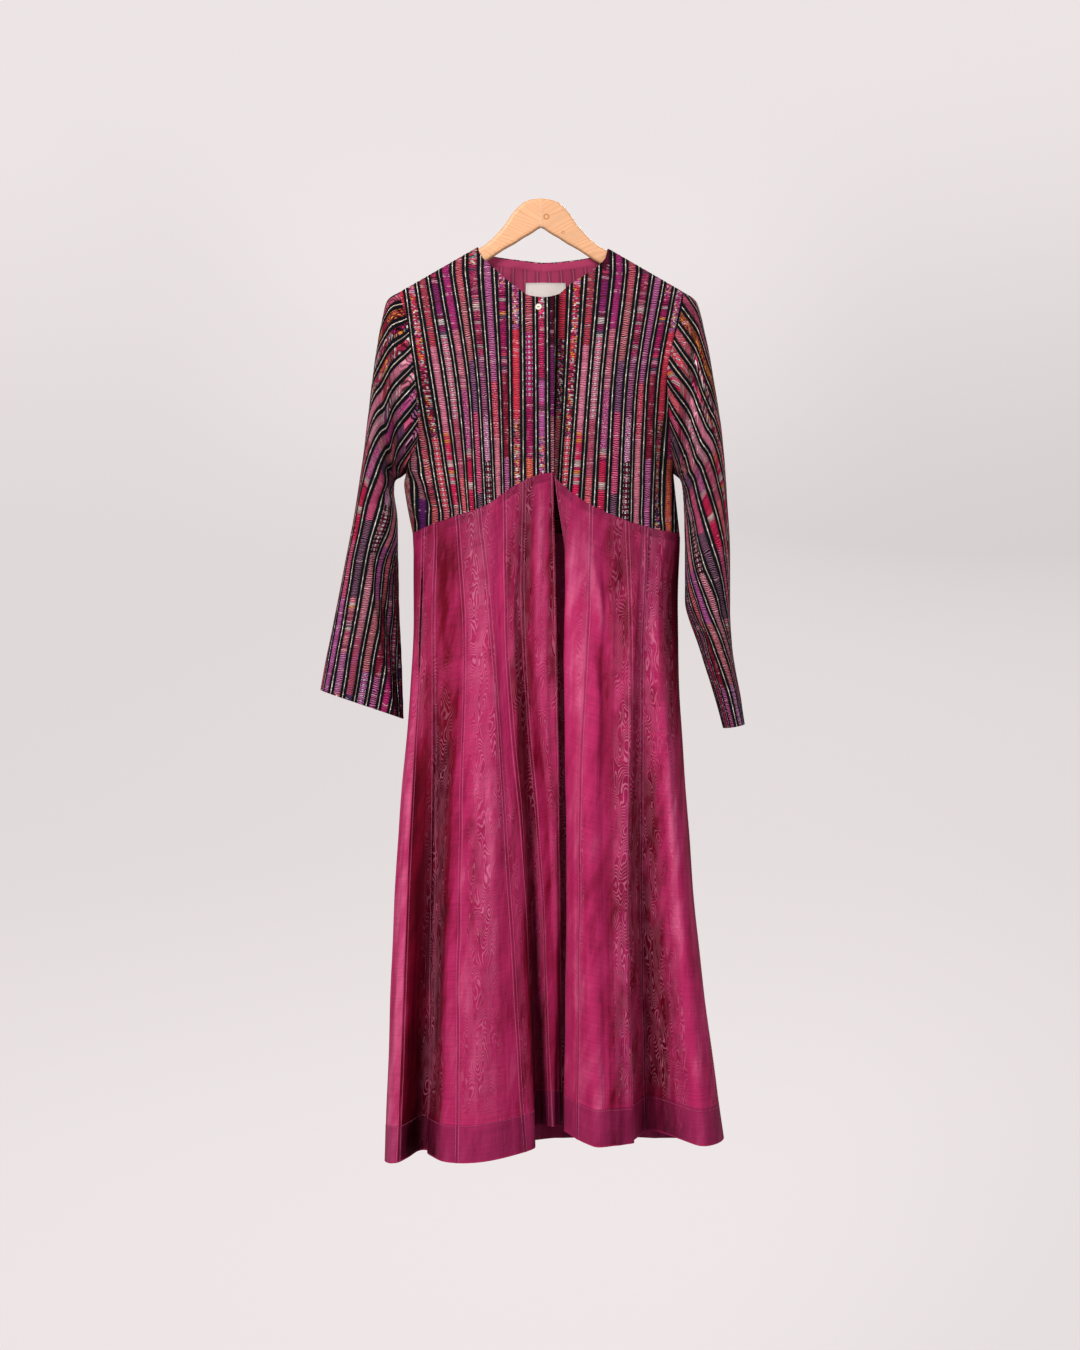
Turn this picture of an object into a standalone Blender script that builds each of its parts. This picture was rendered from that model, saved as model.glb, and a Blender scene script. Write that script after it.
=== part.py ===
"""Kurta tunic hanging on a wooden hanger.

Metres, +Z up, the front towards -Y. The origin is the top of the hanger, where its hook screws in.
"Left" and "right" are as seen from the front.
"""
import math
from collections import namedtuple

import bmesh
import bpy
from mathutils import Vector

MM = 0.001

# cloth
SEAM_GAP = 0.3 * MM
STRIPED_WALL = 1.8 * MM
SILK_WALL = 1.4 * MM
WAIST_DROP = 0.25 * MM
LINING_WALL = 1.0 * MM
LABEL_WALL = 0.8 * MM

# bodice
SHOULDER_TIP_LEFT = -0.1875
SHOULDER_TIP_RIGHT = 0.1890
SHOULDER_TIP_Z = -0.1246
NECK_POINT_LEFT = -0.0838
NECK_POINT_RIGHT = 0.0891
NECK_TURN = 0.0011
OVERLAP_EDGE = 0.0170
UNDERLAP_EDGE = -0.0100
OVERLAP_BLEND = 0.0200
OVERLAP_STEP = STRIPED_WALL + 0.5 * MM
ARMHOLE_REACH = 0.0420
SHOULDER_RIDGE = 0.0100
SHOULDER_RIDGE_DROP = 0.0120
SHOULDER_FADE = 0.0900
UNDERARM_SHARE = 0.75
# rows of the bodice, as shares of the way from its upper edge to the waist; they are close over the hanger
ROW_SHARES = (0.0, 0.004, 0.018, 0.045, 0.10, 0.17, 0.25, 0.34, 0.44, 0.54, 0.64, 0.71,
              UNDERARM_SHARE, 0.82, 0.91, 1.0)
UNDERARM_ROW = ROW_SHARES.index(UNDERARM_SHARE)
WAIST_ROW = len(ROW_SHARES) - 1

# back neck lining and label, placed on the back's grid of columns and rows, and button
LINING_FIRST_COLUMN = 6
LINING_LAST_COLUMN = 11
LINING_LAST_ROW = 7
LABEL_FIRST_COLUMN = 8.18
LABEL_LAST_COLUMN = 10.08
LABEL_FIRST_ROW = 3.50
LABEL_LAST_ROW = 4.60
LABEL_LIFT = 0.6 * MM
BUTTON_X = -0.0033
BUTTON_Z = -0.1521
BUTTON_RADIUS = 4.2 * MM
BUTTON_THICKNESS = 2.2 * MM
BUTTON_HOLE_RADIUS = 0.6 * MM
BUTTON_HOLE_SPACING = 2.2 * MM

# skirt
UPPER_LEVEL_Z = -0.561
LOWER_LEVEL_Z = -0.880
SKIRT_ROWS = 11
COLUMNS_PER_FOLD = 3
POCKET_TOP_Z = -0.497
POCKET_BOTTOM_Z = -0.630
POCKET_HALF_GAPE = 1.2 * MM

# hanger
HANGER_HALF_THICKNESS = 5.2 * MM
HANGER_DROP = STRIPED_WALL + 0.8 * MM
ARM_DEPTH = 0.0240
TIP_INSET = 0.0060
SOCKET_RADIUS = 2.0 * MM
SOCKET_DEPTH = 0.0140

Level = namedtuple("Level", "z left right front_middle back_middle")
LEVELS = [
    Level(0.000, -0.1875, 0.1890, 0.022, 0.016),
    Level(-0.125, -0.1875, 0.1890, 0.044, 0.032),
    Level(-0.160, -0.1780, 0.1840, 0.050, 0.038),
    Level(-0.200, -0.1716, 0.1730, 0.055, 0.044),
    Level(-0.240, -0.1665, 0.1655, 0.059, 0.049),
    Level(-0.280, -0.1630, 0.1675, 0.061, 0.052),
    Level(-0.315, -0.1610, 0.1705, 0.063, 0.054),
    Level(-0.365, -0.1790, 0.1760, 0.065, 0.057),
    Level(-0.380, -0.1820, 0.1775, 0.066, 0.058),
    Level(-0.400, -0.1795, 0.1795, 0.066, 0.059),
    Level(-0.447, -0.1705, 0.1845, 0.067, 0.061),
]

Edge = namedtuple("Edge", "x z")
FRONT_NECKLINE = [
    Edge(NECK_POINT_LEFT, -0.0648),
    Edge(NECK_POINT_LEFT + NECK_TURN, -0.0735),
    Edge(-0.0697, -0.0887),
    Edge(-0.0579, -0.1012),
    Edge(-0.0408, -0.1183),
    Edge(-0.0290, -0.1276),
    Edge(-0.0155, -0.1363),
    Edge(0.0052, -0.1385),
    Edge(0.0223, -0.1345),
    Edge(0.0368, -0.1223),
    Edge(0.0605, -0.1052),
    Edge(0.0763, -0.0920),
    Edge(NECK_POINT_RIGHT - NECK_TURN, -0.0760),
    Edge(NECK_POINT_RIGHT, -0.0668),
]
BACK_NECKLINE = [
    Edge(NECK_POINT_LEFT, -0.0648),
    Edge(NECK_POINT_LEFT + NECK_TURN, -0.0702),
    Edge(-0.0616, -0.0755),
    Edge(-0.0241, -0.0796),
    Edge(0.0081, -0.0818),
    Edge(0.0442, -0.0796),
    Edge(0.0643, -0.0770),
    Edge(NECK_POINT_RIGHT - NECK_TURN, -0.0722),
    Edge(NECK_POINT_RIGHT, -0.0668),
]
LEFT_WAIST = [
    Edge(-0.1705, -0.4460),
    Edge(-0.1412, -0.4353),
    Edge(-0.1164, -0.4275),
    Edge(-0.0732, -0.4131),
    Edge(-0.0366, -0.3883),
    Edge(-0.0105, -0.3752),
    Edge(OVERLAP_EDGE, -0.3692),
]
RIGHT_WAIST = [
    Edge(UNDERLAP_EDGE, -0.3490),
    Edge(OVERLAP_EDGE, -0.3750),
    Edge(0.0366, -0.3935),
    Edge(0.0666, -0.4131),
    Edge(0.0987, -0.4270),
    Edge(0.1242, -0.4360),
    Edge(0.1581, -0.4435),
    Edge(0.1845, -0.4470),
]
BACK_WAIST = [
    Edge(-0.1705, -0.4460),
    Edge(0.0070, -0.4420),
    Edge(0.1845, -0.4470),
]
WAISTS = {"left": LEFT_WAIST, "right": RIGHT_WAIST, "back": BACK_WAIST}

# one row for each crest, valley and edge of the skirt, from the left opening edge round to the right one;
# top is where it leaves the waist seam, upper and lower are at UPPER_LEVEL_Z and LOWER_LEVEL_Z
Fold = namedtuple("Fold", "name top_x upper_x upper_y lower_x lower_y hem_x hem_y hem_z")
FOLDS = [
    Fold("opening_left", 0.016, 0.020, -0.060, 0.025, -0.052, 0.029, -0.005, -1.234),
    Fold("placket_crest", 0.005, -0.003, -0.068, 0.013, -0.064, 0.015, -0.022, -1.230),
    Fold("placket_valley", -0.013, -0.022, -0.056, -0.013, -0.035, -0.007, -0.002, -1.233),
    Fold("fold_turn", -0.033, -0.038, -0.066, -0.024, -0.060, -0.010, -0.052, -1.252),
    Fold("fold_crest", -0.069, -0.067, -0.080, -0.076, -0.097, -0.086, -0.108, -1.261),
    Fold("fold_flank", -0.108, -0.103, -0.068, -0.116, -0.074, -0.130, -0.082, -1.264),
    Fold("pocket_valley", -0.134, -0.136, -0.050, -0.143, -0.036, -0.156, -0.015, -1.263),
    Fold("side_left", -0.155, -0.158, -0.040, -0.173, -0.044, -0.187, -0.052, -1.272),
    Fold("edge_left", -0.1705, -0.170, -0.004, -0.191, -0.003, -0.209, 0.000, -1.280),
    Fold("back_1", -0.162, -0.165, 0.036, -0.185, 0.056, -0.195, 0.075, -1.291),
    Fold("back_2", -0.137, -0.135, 0.050, -0.150, 0.045, -0.162, 0.052, -1.276),
    Fold("back_3", -0.103, -0.106, 0.066, -0.113, 0.088, -0.125, 0.112, -1.285),
    Fold("back_4", -0.066, -0.066, 0.058, -0.072, 0.055, -0.077, 0.062, -1.268),
    Fold("back_5", -0.028, -0.030, 0.070, -0.026, 0.092, -0.023, 0.122, -1.277),
    Fold("back_6", 0.009, 0.007, 0.060, 0.016, 0.058, 0.026, 0.060, -1.261),
    Fold("back_7", 0.046, 0.045, 0.070, 0.057, 0.088, 0.070, 0.116, -1.272),
    Fold("back_8", 0.083, 0.084, 0.058, 0.096, 0.056, 0.110, 0.060, -1.260),
    Fold("back_9", 0.118, 0.121, 0.066, 0.138, 0.083, 0.157, 0.106, -1.270),
    Fold("back_10", 0.150, 0.149, 0.050, 0.165, 0.050, 0.194, 0.058, -1.261),
    Fold("back_11", 0.174, 0.171, 0.036, 0.189, 0.050, 0.227, 0.072, -1.265),
    Fold("side_right", 0.1845, 0.181, 0.000, 0.198, 0.000, 0.243, 0.000, -1.250),
    Fold("right_crest", 0.165, 0.156, -0.045, 0.174, -0.058, 0.209, -0.075, -1.246),
    Fold("right_valley", 0.142, 0.136, -0.052, 0.137, -0.028, 0.145, 0.004, -1.240),
    Fold("right_turn", 0.124, 0.120, -0.068, 0.109, -0.068, 0.118, -0.056, -1.246),
    Fold("right_dip", 0.092, 0.093, -0.064, 0.090, -0.073, 0.097, -0.082, -1.244),
    Fold("right_fold", 0.064, 0.066, -0.076, 0.063, -0.088, 0.072, -0.098, -1.243),
    Fold("opening_turn", 0.033, 0.031, -0.062, 0.035, -0.052, 0.032, -0.035, -1.233),
    Fold("opening_right", 0.017, 0.043, -0.030, 0.052, -0.012, 0.048, -0.004, -1.237),
]
LEFT_SIDE_FOLD = 7.0
LEFT_EDGE_FOLD = 8.0
RIGHT_EDGE_FOLD = 20.0
LAST_FOLD = len(FOLDS) - 1.0

# each seam runs down the skirt; its place is counted in folds, at the waist, halfway and at the hem
Seam = namedtuple("Seam", "name waist halfway hem")
SEAMS = [
    Seam("left_opening", 0.0, 0.0, 0.0),
    Seam("left_5", 2.47, 1.70, 1.10),
    Seam("left_4", 3.45, 3.10, 2.60),
    Seam("left_3", 4.30, 3.52, 3.25),
    Seam("left_2", 5.05, 4.75, 4.45),
    Seam("left_1", 6.20, 6.00, 5.80),
    Seam("left_side", LEFT_SIDE_FOLD, LEFT_SIDE_FOLD, LEFT_SIDE_FOLD),
    Seam("back_1", 9.80, 9.60, 9.50),
    Seam("back_2", 11.05, 10.90, 10.80),
    Seam("back_3", 12.20, 12.10, 12.10),
    Seam("back_4", 13.25, 13.25, 13.30),
    Seam("back_5", 14.20, 14.20, 14.20),
    Seam("back_6", 15.15, 15.20, 15.20),
    Seam("back_7", 16.10, 16.20, 16.30),
    Seam("back_8", 17.10, 17.30, 17.40),
    Seam("back_9", 18.30, 18.50, 18.60),
    Seam("right_side", RIGHT_EDGE_FOLD, RIGHT_EDGE_FOLD, RIGHT_EDGE_FOLD),
    Seam("right_1", 22.20, 22.15, 22.20),
    Seam("right_2", 23.40, 22.85, 22.90),
    Seam("right_3", 24.95, 25.35, 25.50),
    Seam("right_opening", LAST_FOLD, LAST_FOLD, LAST_FOLD),
]
POCKET_SEAMS = ("left_side", "right_side")
PANEL_NAMES = (
    [f"kali_front_left_{number}" for number in (6, 5, 4, 3, 2, 1)]
    + [f"kali_back_{number}" for number in range(1, 11)]
    + [f"kali_front_right_{number}" for number in (1, 2, 3, 4)]
)

# each ring of a sleeve after the armhole: its outer and inner points seen from the front, how far it reaches
# to the front and to the back, and how far round its front crest is turned, in radians
Ring = namedtuple("Ring", "outer_x outer_z inner_x inner_z front back turn")
SLEEVE_LEFT = [
    Ring(-0.203, -0.135, -0.1870, -0.3715, 0.046, 0.046, 0.00),
    Ring(-0.217, -0.195, -0.1920, -0.3740, 0.049, 0.050, 0.00),
    Ring(-0.226, -0.262, -0.1950, -0.3790, 0.049, 0.052, 0.00),
    Ring(-0.235, -0.335, -0.1960, -0.3930, 0.045, 0.050, 0.00),
    Ring(-0.247, -0.415, -0.1910, -0.4280, 0.039, 0.045, 0.00),
    Ring(-0.261, -0.488, -0.1900, -0.4840, 0.034, 0.038, 0.00),
    Ring(-0.275, -0.561, -0.1880, -0.5610, 0.030, 0.034, 0.05),
    Ring(-0.286, -0.614, -0.1850, -0.6250, 0.027, 0.030, 0.35),
    Ring(-0.293, -0.654, -0.1830, -0.6920, 0.024, 0.027, 0.65),
]
SLEEVE_RIGHT = [
    Ring(0.206, -0.137, 0.1850, -0.3740, 0.046, 0.046, 0.00),
    Ring(0.219, -0.186, 0.1870, -0.3780, 0.049, 0.050, 0.00),
    Ring(0.231, -0.252, 0.1885, -0.3860, 0.051, 0.053, 0.00),
    Ring(0.241, -0.321, 0.1900, -0.4020, 0.051, 0.054, 0.00),
    Ring(0.247, -0.401, 0.1915, -0.4410, 0.052, 0.055, 0.00),
    Ring(0.251, -0.481, 0.1920, -0.4880, 0.053, 0.056, 0.00),
    Ring(0.251, -0.548, 0.1920, -0.5340, 0.054, 0.056, 0.00),
    Ring(0.254, -0.601, 0.2100, -0.5940, 0.054, 0.056, 0.00),
    Ring(0.264, -0.660, 0.2310, -0.6600, 0.053, 0.054, 0.00),
    Ring(0.270, -0.699, 0.2430, -0.7045, 0.052, 0.052, 0.00),
]

# the hanger's upper and lower edges from the middle to the neck; x is the distance from the middle
Station = namedtuple("Station", "top_x top_z bottom_x bottom_z")
HANGER_CROWN = [
    Station(0.0000, 0.0000, 0.0000, -0.0395),
    Station(0.0125, -0.0014, 0.0040, -0.0412),
    Station(0.0226, -0.0049, 0.0095, -0.0452),
    Station(0.0319, -0.0129, 0.0155, -0.0490),
    Station(0.0386, -0.0209, 0.0226, -0.0528),
    Station(0.0492, -0.0368, 0.0346, -0.0608),
    Station(0.0638, -0.0528, 0.0492, -0.0687),
    Station(0.0745, -0.0622, 0.0612, -0.0767),
    Station(0.0835, -0.0674, 0.0705, -0.0830),
]
HANGER_ARM_PLACES = (0.0920, 0.1150, 0.1450, 0.1700)

COLOURS = {
    "striped_cloth": ((0.23, 0.05, 0.12), 0.85),
    "pink_silk": ((0.50, 0.04, 0.17), 0.50),
    "lining_silk": ((0.42, 0.04, 0.16), 0.60),
    "label_tape": ((0.75, 0.70, 0.60), 0.90),
    "button_shell": ((0.78, 0.70, 0.60), 0.30),
    "hanger_wood": ((0.80, 0.47, 0.22), 0.45),
}


def mix(low, high, share):
    return low + (high - low) * share


def ease(share):
    """Smooth step from 0 to 1."""
    share = max(0.0, min(1.0, share))
    return share * share * (3.0 - 2.0 * share)


def smooth_value(places, values, place):
    """Value at a place on a smooth curve through the values, with no overshoot between them."""
    if place <= places[0]:
        return values[0]
    if place >= places[-1]:
        return values[-1]
    steps = [b - a for a, b in zip(places, places[1:])]
    slopes = [(b - a) / step for a, b, step in zip(values, values[1:], steps)]
    tangents = [slopes[0]]
    for before, after in zip(slopes, slopes[1:]):
        tangents.append(0.0 if before * after <= 0.0 else 2.0 * before * after / (before + after))
    tangents.append(slopes[-1])
    index = max(i for i, start in enumerate(places[:-1]) if start <= place)
    step = steps[index]
    t = (place - places[index]) / step
    rest = 1.0 - t
    return (
        values[index] * (1.0 + 2.0 * t) * rest * rest
        + values[index + 1] * t * t * (3.0 - 2.0 * t)
        + tangents[index] * step * t * rest * rest
        - tangents[index + 1] * step * t * t * rest
    )


def level_value(column, z):
    """A column of the bodice's table at a height."""
    return smooth_value([-level.z for level in LEVELS], [getattr(level, column) for level in LEVELS], -z)


def edge_z(edges, x):
    """Height of a neckline or waist seam at x."""
    return smooth_value([edge.x for edge in edges], [edge.z for edge in edges], x)


def shoulder_z(x):
    """Height of the shoulder line, carried on across the neck."""
    if x < 0.0:
        slope = (FRONT_NECKLINE[0].z - SHOULDER_TIP_Z) / (NECK_POINT_LEFT - SHOULDER_TIP_LEFT)
        return SHOULDER_TIP_Z + slope * (x - SHOULDER_TIP_LEFT)
    slope = (FRONT_NECKLINE[-1].z - SHOULDER_TIP_Z) / (NECK_POINT_RIGHT - SHOULDER_TIP_RIGHT)
    return SHOULDER_TIP_Z + slope * (x - SHOULDER_TIP_RIGHT)


def top_z(x, side):
    """Upper edge of the bodice: the shoulder seam, and the neckline between the neck points."""
    if NECK_POINT_LEFT < x < NECK_POINT_RIGHT:
        return edge_z(FRONT_NECKLINE if side == "front" else BACK_NECKLINE, x)
    return shoulder_z(x)


def waist_z(x, part):
    """Seam between the bodice and the skirt, on the left front, the right front or the back."""
    return edge_z(WAISTS[part], x)


def armhole_share(z, side_waist_z):
    """0 at the shoulder tip, 1 at the underarm."""
    underarm_z = mix(SHOULDER_TIP_Z, side_waist_z, UNDERARM_SHARE)
    return max(0.0, min(1.0, (z - SHOULDER_TIP_Z) / (underarm_z - SHOULDER_TIP_Z)))


def body_reach(x, z, side):
    """How far the bodice stands out to the front or back of the hanger's plane."""
    left = level_value("left", z)
    right = level_value("right", z)
    across = max(-1.0, min(1.0, 2.0 * (x - left) / (right - left) - 1.0))
    side_waist = BACK_WAIST[0].z if across < 0.0 else BACK_WAIST[-1].z
    share = armhole_share(z, side_waist)
    openness = 2.0 * math.sqrt(share * (1.0 - share))
    edge = ARMHOLE_REACH * openness
    middle = level_value(f"{side}_middle", z)
    roundness = (1.0 - abs(across) ** 2.6) ** (0.55 + 0.5 * openness)
    reach = edge + (middle - edge) * roundness
    drop = max(0.0, shoulder_z(x) - z)
    fade = ease(drop / SHOULDER_FADE)
    ridge = 1.0 - min(1.0, drop / SHOULDER_RIDGE_DROP)
    return reach * fade + SHOULDER_RIDGE * math.sqrt(1.0 - ridge * ridge) * (1.0 - fade)


def body_point(x, z, side):
    """Outer face of the bodice."""
    reach = body_reach(x, z, side)
    return Vector((x, -reach if side == "front" else reach, z))


Piece = namedtuple("Piece", "side part start end")
FRONT_LEFT = Piece("front", "left", "left", OVERLAP_EDGE)
FRONT_RIGHT = Piece("front", "right", "right", UNDERLAP_EDGE)
BACK = Piece("back", "back", "left", None)


def piece_x(piece, share, z):
    """x across a bodice piece, from its side (share 0) to its other edge (share 1)."""
    end = level_value("right", z) if piece.end is None else piece.end
    return mix(level_value(piece.start, z), end, share)


def bodice_point(piece, share, drop_share):
    """Point of a bodice piece, from its upper edge (drop share 0) to the waist seam (1)."""
    top = top_z(piece_x(piece, share, SHOULDER_TIP_Z), piece.side)
    waist = BACK_WAIST[0].z
    for _ in range(6):
        waist = waist_z(piece_x(piece, share, waist), piece.part)
    z = mix(top, waist, drop_share)
    x = piece_x(piece, share, z)
    point = body_point(x, z, piece.side)
    if piece is FRONT_RIGHT:
        point.y += OVERLAP_STEP * (1.0 - ease((x - OVERLAP_EDGE) / OVERLAP_BLEND))
    return point


def surface_normal(surface, u, v, outward):
    """Unit normal of a surface given by a function, turned to the side of outward."""
    step = 1e-4
    along_u = surface(min(1.0, u + step), v) - surface(max(0.0, u - step), v)
    along_v = surface(u, min(1.0, v + step)) - surface(u, max(0.0, v - step))
    normal = along_u.cross(along_v).normalized()
    return normal if normal.dot(outward) > 0.0 else -normal


def level_out(normal, axis):
    """The normal with no part along one axis, so that pieces meet edge to edge at a seam."""
    flat = normal.copy()
    flat[axis] = 0.0
    return flat.normalized()


def make_material(name):
    colour, roughness = COLOURS[name]
    material = bpy.data.materials.new(name)
    material.use_nodes = True
    shader = material.node_tree.nodes["Principled BSDF"]
    shader.inputs["Base Color"].default_value = (*colour, 1.0)
    shader.inputs["Roughness"].default_value = roughness
    shader.inputs["Metallic"].default_value = 0.0
    return material


def add_object(name, mesh_data, material):
    mesh = bpy.data.meshes.new(name)
    mesh_data.to_mesh(mesh)
    mesh_data.free()
    mesh.materials.append(material)
    mesh.shade_smooth()
    mesh.set_sharp_from_angle(angle=math.radians(40.0))
    piece = bpy.data.objects.new(name, mesh)
    bpy.context.scene.collection.objects.link(piece)
    return piece


def add_wall(name, rows, near, far, material, closed=False):
    """A wall of cloth between near and far inside the surface that rows of (point, normal) give."""
    cloth = bmesh.new()
    outer = [[cloth.verts.new(point - normal * near) for point, normal in row] for row in rows]
    inner = [[cloth.verts.new(point - normal * far) for point, normal in row] for row in rows]
    columns = len(rows[0])
    spans = columns if closed else columns - 1
    for row in range(len(rows) - 1):
        for column in range(spans):
            after = (column + 1) % columns
            corners = ((row, column), (row, after), (row + 1, after), (row + 1, column))
            # every layer is split along the same diagonal, so that layers over each other stay clear
            for triangle in ((0, 1, 2), (0, 2, 3)):
                places = [corners[corner] for corner in triangle]
                cloth.faces.new([outer[i][j] for i, j in places])
                cloth.faces.new([inner[i][j] for i, j in reversed(places)])
    for row in (0, len(rows) - 1):
        for column in range(spans):
            after = (column + 1) % columns
            cloth.faces.new((outer[row][column], outer[row][after], inner[row][after], inner[row][column]))
    if not closed:
        for column in (0, columns - 1):
            for row in range(len(rows) - 1):
                below = row + 1
                cloth.faces.new((outer[row][column], outer[below][column],
                                 inner[below][column], inner[row][column]))
    bmesh.ops.recalc_face_normals(cloth, faces=cloth.faces)
    return add_object(name, cloth, material)


def bodice_row(piece, shares, row):
    """One row of points and normals of a bodice piece, drawn back half a gap at every seam."""
    outward = Vector((0.0, -1.0 if piece.side == "front" else 1.0, 0.0))
    drop_share = ROW_SHARES[row]
    points = []
    for index, share in enumerate(shares):
        def surface(u, v):
            return bodice_point(piece, u, v)
        point = surface(share, drop_share)
        lift = outward + Vector((0.0, 0.0, 0.6 if row == 0 else 0.0))
        normal = surface_normal(surface, share, drop_share, lift)
        at_side = index == 0 or (piece.end is None and index == len(shares) - 1)
        on_shoulder = not NECK_POINT_LEFT < point.x < NECK_POINT_RIGHT
        if row == 0 and on_shoulder:
            normal = level_out(normal, 1)
            point = point + outward * SEAM_GAP / 2.0
        if at_side and row >= UNDERARM_ROW:
            normal = level_out(normal, 1)
            point = point + outward * SEAM_GAP / 2.0
        if row == WAIST_ROW:
            normal = level_out(normal, 2)
            point = point + Vector((0.0, 0.0, SEAM_GAP / 2.0))
        points.append((point, normal))
    return points


def even_shares(start, end, spans):
    """Places from start to just before end."""
    return [mix(start, end, index / spans) for index in range(spans)]


def bodice_shares(piece):
    """Places across a bodice piece. One is on each neck point and one just inside it, where the neck edge
    turns down over the hanger."""
    start = SHOULDER_TIP_LEFT if piece.start == "left" else SHOULDER_TIP_RIGHT
    end = SHOULDER_TIP_RIGHT if piece.end is None else piece.end
    if piece.start == "left":
        neck_point, neck_inside = NECK_POINT_LEFT, NECK_POINT_LEFT + NECK_TURN
    else:
        neck_point, neck_inside = NECK_POINT_RIGHT, NECK_POINT_RIGHT - NECK_TURN
    corner, inside = [(x - start) / (end - start) for x in (neck_point, neck_inside)]
    shares = even_shares(0.0, corner, 5) + [corner]
    if piece.end is not None:
        return shares + even_shares(inside, 1.0, 7) + [1.0]
    far_edge = (NECK_POINT_RIGHT - NECK_TURN, NECK_POINT_RIGHT)
    far_inside, far_corner = [(x - start) / (end - start) for x in far_edge]
    neck = even_shares(inside, far_inside, 6) + [far_inside]
    return shares + neck + even_shares(far_corner, 1.0, 5) + [1.0]


def bodice_rows(piece):
    shares = bodice_shares(piece)
    return [bodice_row(piece, shares, row) for row in range(WAIST_ROW + 1)]


def add_bodice(material):
    """Both fronts and the back. Returns their rows, which the sleeves start from."""
    rows = {}
    for name, piece in (("front_left", FRONT_LEFT), ("front_right", FRONT_RIGHT), ("back", BACK)):
        rows[name] = bodice_rows(piece)
        add_wall(f"bodice_{name}", rows[name], 0.0, STRIPED_WALL, material)
    return rows


def armhole_ring(front_rows, back_rows, front_column, back_column, outward_x):
    """The sleeve's first ring: the armhole's edge points moved out by the seam gap, down the front and up the
    back. Its points and normals are the bodice's own."""
    edge = [row[front_column] for row in front_rows[:UNDERARM_ROW + 1]]
    edge += [row[back_column] for row in reversed(back_rows[1:UNDERARM_ROW])]
    away = Vector((outward_x * SEAM_GAP, 0.0, 0.0))
    ring = []
    for point, normal in edge:
        ring.append((point + away, normal))
    top, under = ring[0], ring[UNDERARM_ROW]
    ring[0] = (Vector((top[0].x, 0.0, top[0].z)), top[1])
    ring[UNDERARM_ROW] = (Vector((under[0].x, 0.0, under[0].z - SEAM_GAP)), under[1])
    return ring


def sleeve_point(rings, along, angle):
    """Point of a sleeve; along counts rings, and angle goes from the outside round the front."""
    places = list(range(len(rings)))

    def column(name):
        return smooth_value(places, [getattr(ring, name) for ring in rings], along)

    turned = angle - column("turn") * math.sin(angle) ** 2 * (1.0 if angle < math.pi else 0.0)
    swing = math.cos(turned)
    x = mix(column("inner_x"), column("outer_x"), 0.5 + 0.5 * swing)
    z = mix(column("inner_z"), column("outer_z"), 0.5 + 0.5 * swing)
    side = math.sin(angle)
    return Vector((x, -side * column("front" if side > 0.0 else "back"), z))


def add_sleeve(name, rings, armhole, material):
    count = len(armhole)
    rows = [armhole]
    for place in range(len(rings)):
        row = []
        for index in range(count):
            angle = math.tau * index / count
            step = 1e-3
            point = sleeve_point(rings, place, angle)
            around = sleeve_point(rings, place, angle + step) - sleeve_point(rings, place, angle - step)
            along = (sleeve_point(rings, min(place + step, len(rings) - 1.0), angle)
                     - sleeve_point(rings, max(place - step, 0.0), angle))
            normal = around.cross(along).normalized()
            middle = (sleeve_point(rings, place, 0.0) + sleeve_point(rings, place, math.pi)) / 2.0
            if normal.dot(point - middle) < 0.0:
                normal = -normal
            row.append((point, normal))
        rows.append(row)
    return add_wall(name, rows, 0.0, STRIPED_WALL, material, closed=True)


def fold_value(column, fold):
    """A column of the skirt's table at a place counted in folds."""
    return smooth_value(list(range(len(FOLDS))), [getattr(row, column) for row in FOLDS], fold)


def skirt_top(fold):
    """Point of the waist seam at a place counted in folds."""
    x = fold_value("top_x", fold)
    part = "left" if fold <= LEFT_EDGE_FOLD else "back" if fold < RIGHT_EDGE_FOLD else "right"
    point = body_point(x, waist_z(x, part), "back" if part == "back" else "front")
    if part == "right":
        point.y += OVERLAP_STEP * (1.0 - ease((x - OVERLAP_EDGE) / OVERLAP_BLEND))
    return point


def skirt_point(fold, drop_share):
    """Point of the skirt's outer face; drop share goes from the waist seam (0) to the hem (1)."""
    top = skirt_top(fold)
    z = mix(top.z, fold_value("hem_z", fold), drop_share)
    depths = [-top.z, -UPPER_LEVEL_Z, -LOWER_LEVEL_Z, -fold_value("hem_z", fold)]
    x_values = [top.x] + [fold_value(f"{level}_x", fold) for level in ("upper", "lower", "hem")]
    y_values = [top.y] + [fold_value(f"{level}_y", fold) for level in ("upper", "lower", "hem")]
    return Vector((smooth_value(depths, x_values, -z), smooth_value(depths, y_values, -z), z))


def seam_fold(seam, drop_share):
    return smooth_value([0.0, 0.45, 1.0], [seam.waist, seam.halfway, seam.hem], drop_share)


def seam_inset(seam, point):
    """Half the gap between the two pieces at a seam: wider along a pocket's mouth."""
    if seam.name not in POCKET_SEAMS or not POCKET_BOTTOM_Z < point.z < POCKET_TOP_Z:
        return SEAM_GAP / 2.0
    share = (point.z - POCKET_TOP_Z) / (POCKET_BOTTOM_Z - POCKET_TOP_Z)
    return SEAM_GAP / 2.0 + POCKET_HALF_GAPE * math.sin(math.pi * share)


def skirt_normal(fold, drop_share):
    step = 1e-3
    around = (skirt_point(min(fold + step, LAST_FOLD), drop_share)
              - skirt_point(max(fold - step, 0.0), drop_share))
    down = (skirt_point(fold, min(drop_share + step, 1.0))
            - skirt_point(fold, max(drop_share - step, 0.0)))
    return around.cross(down).normalized()


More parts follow.
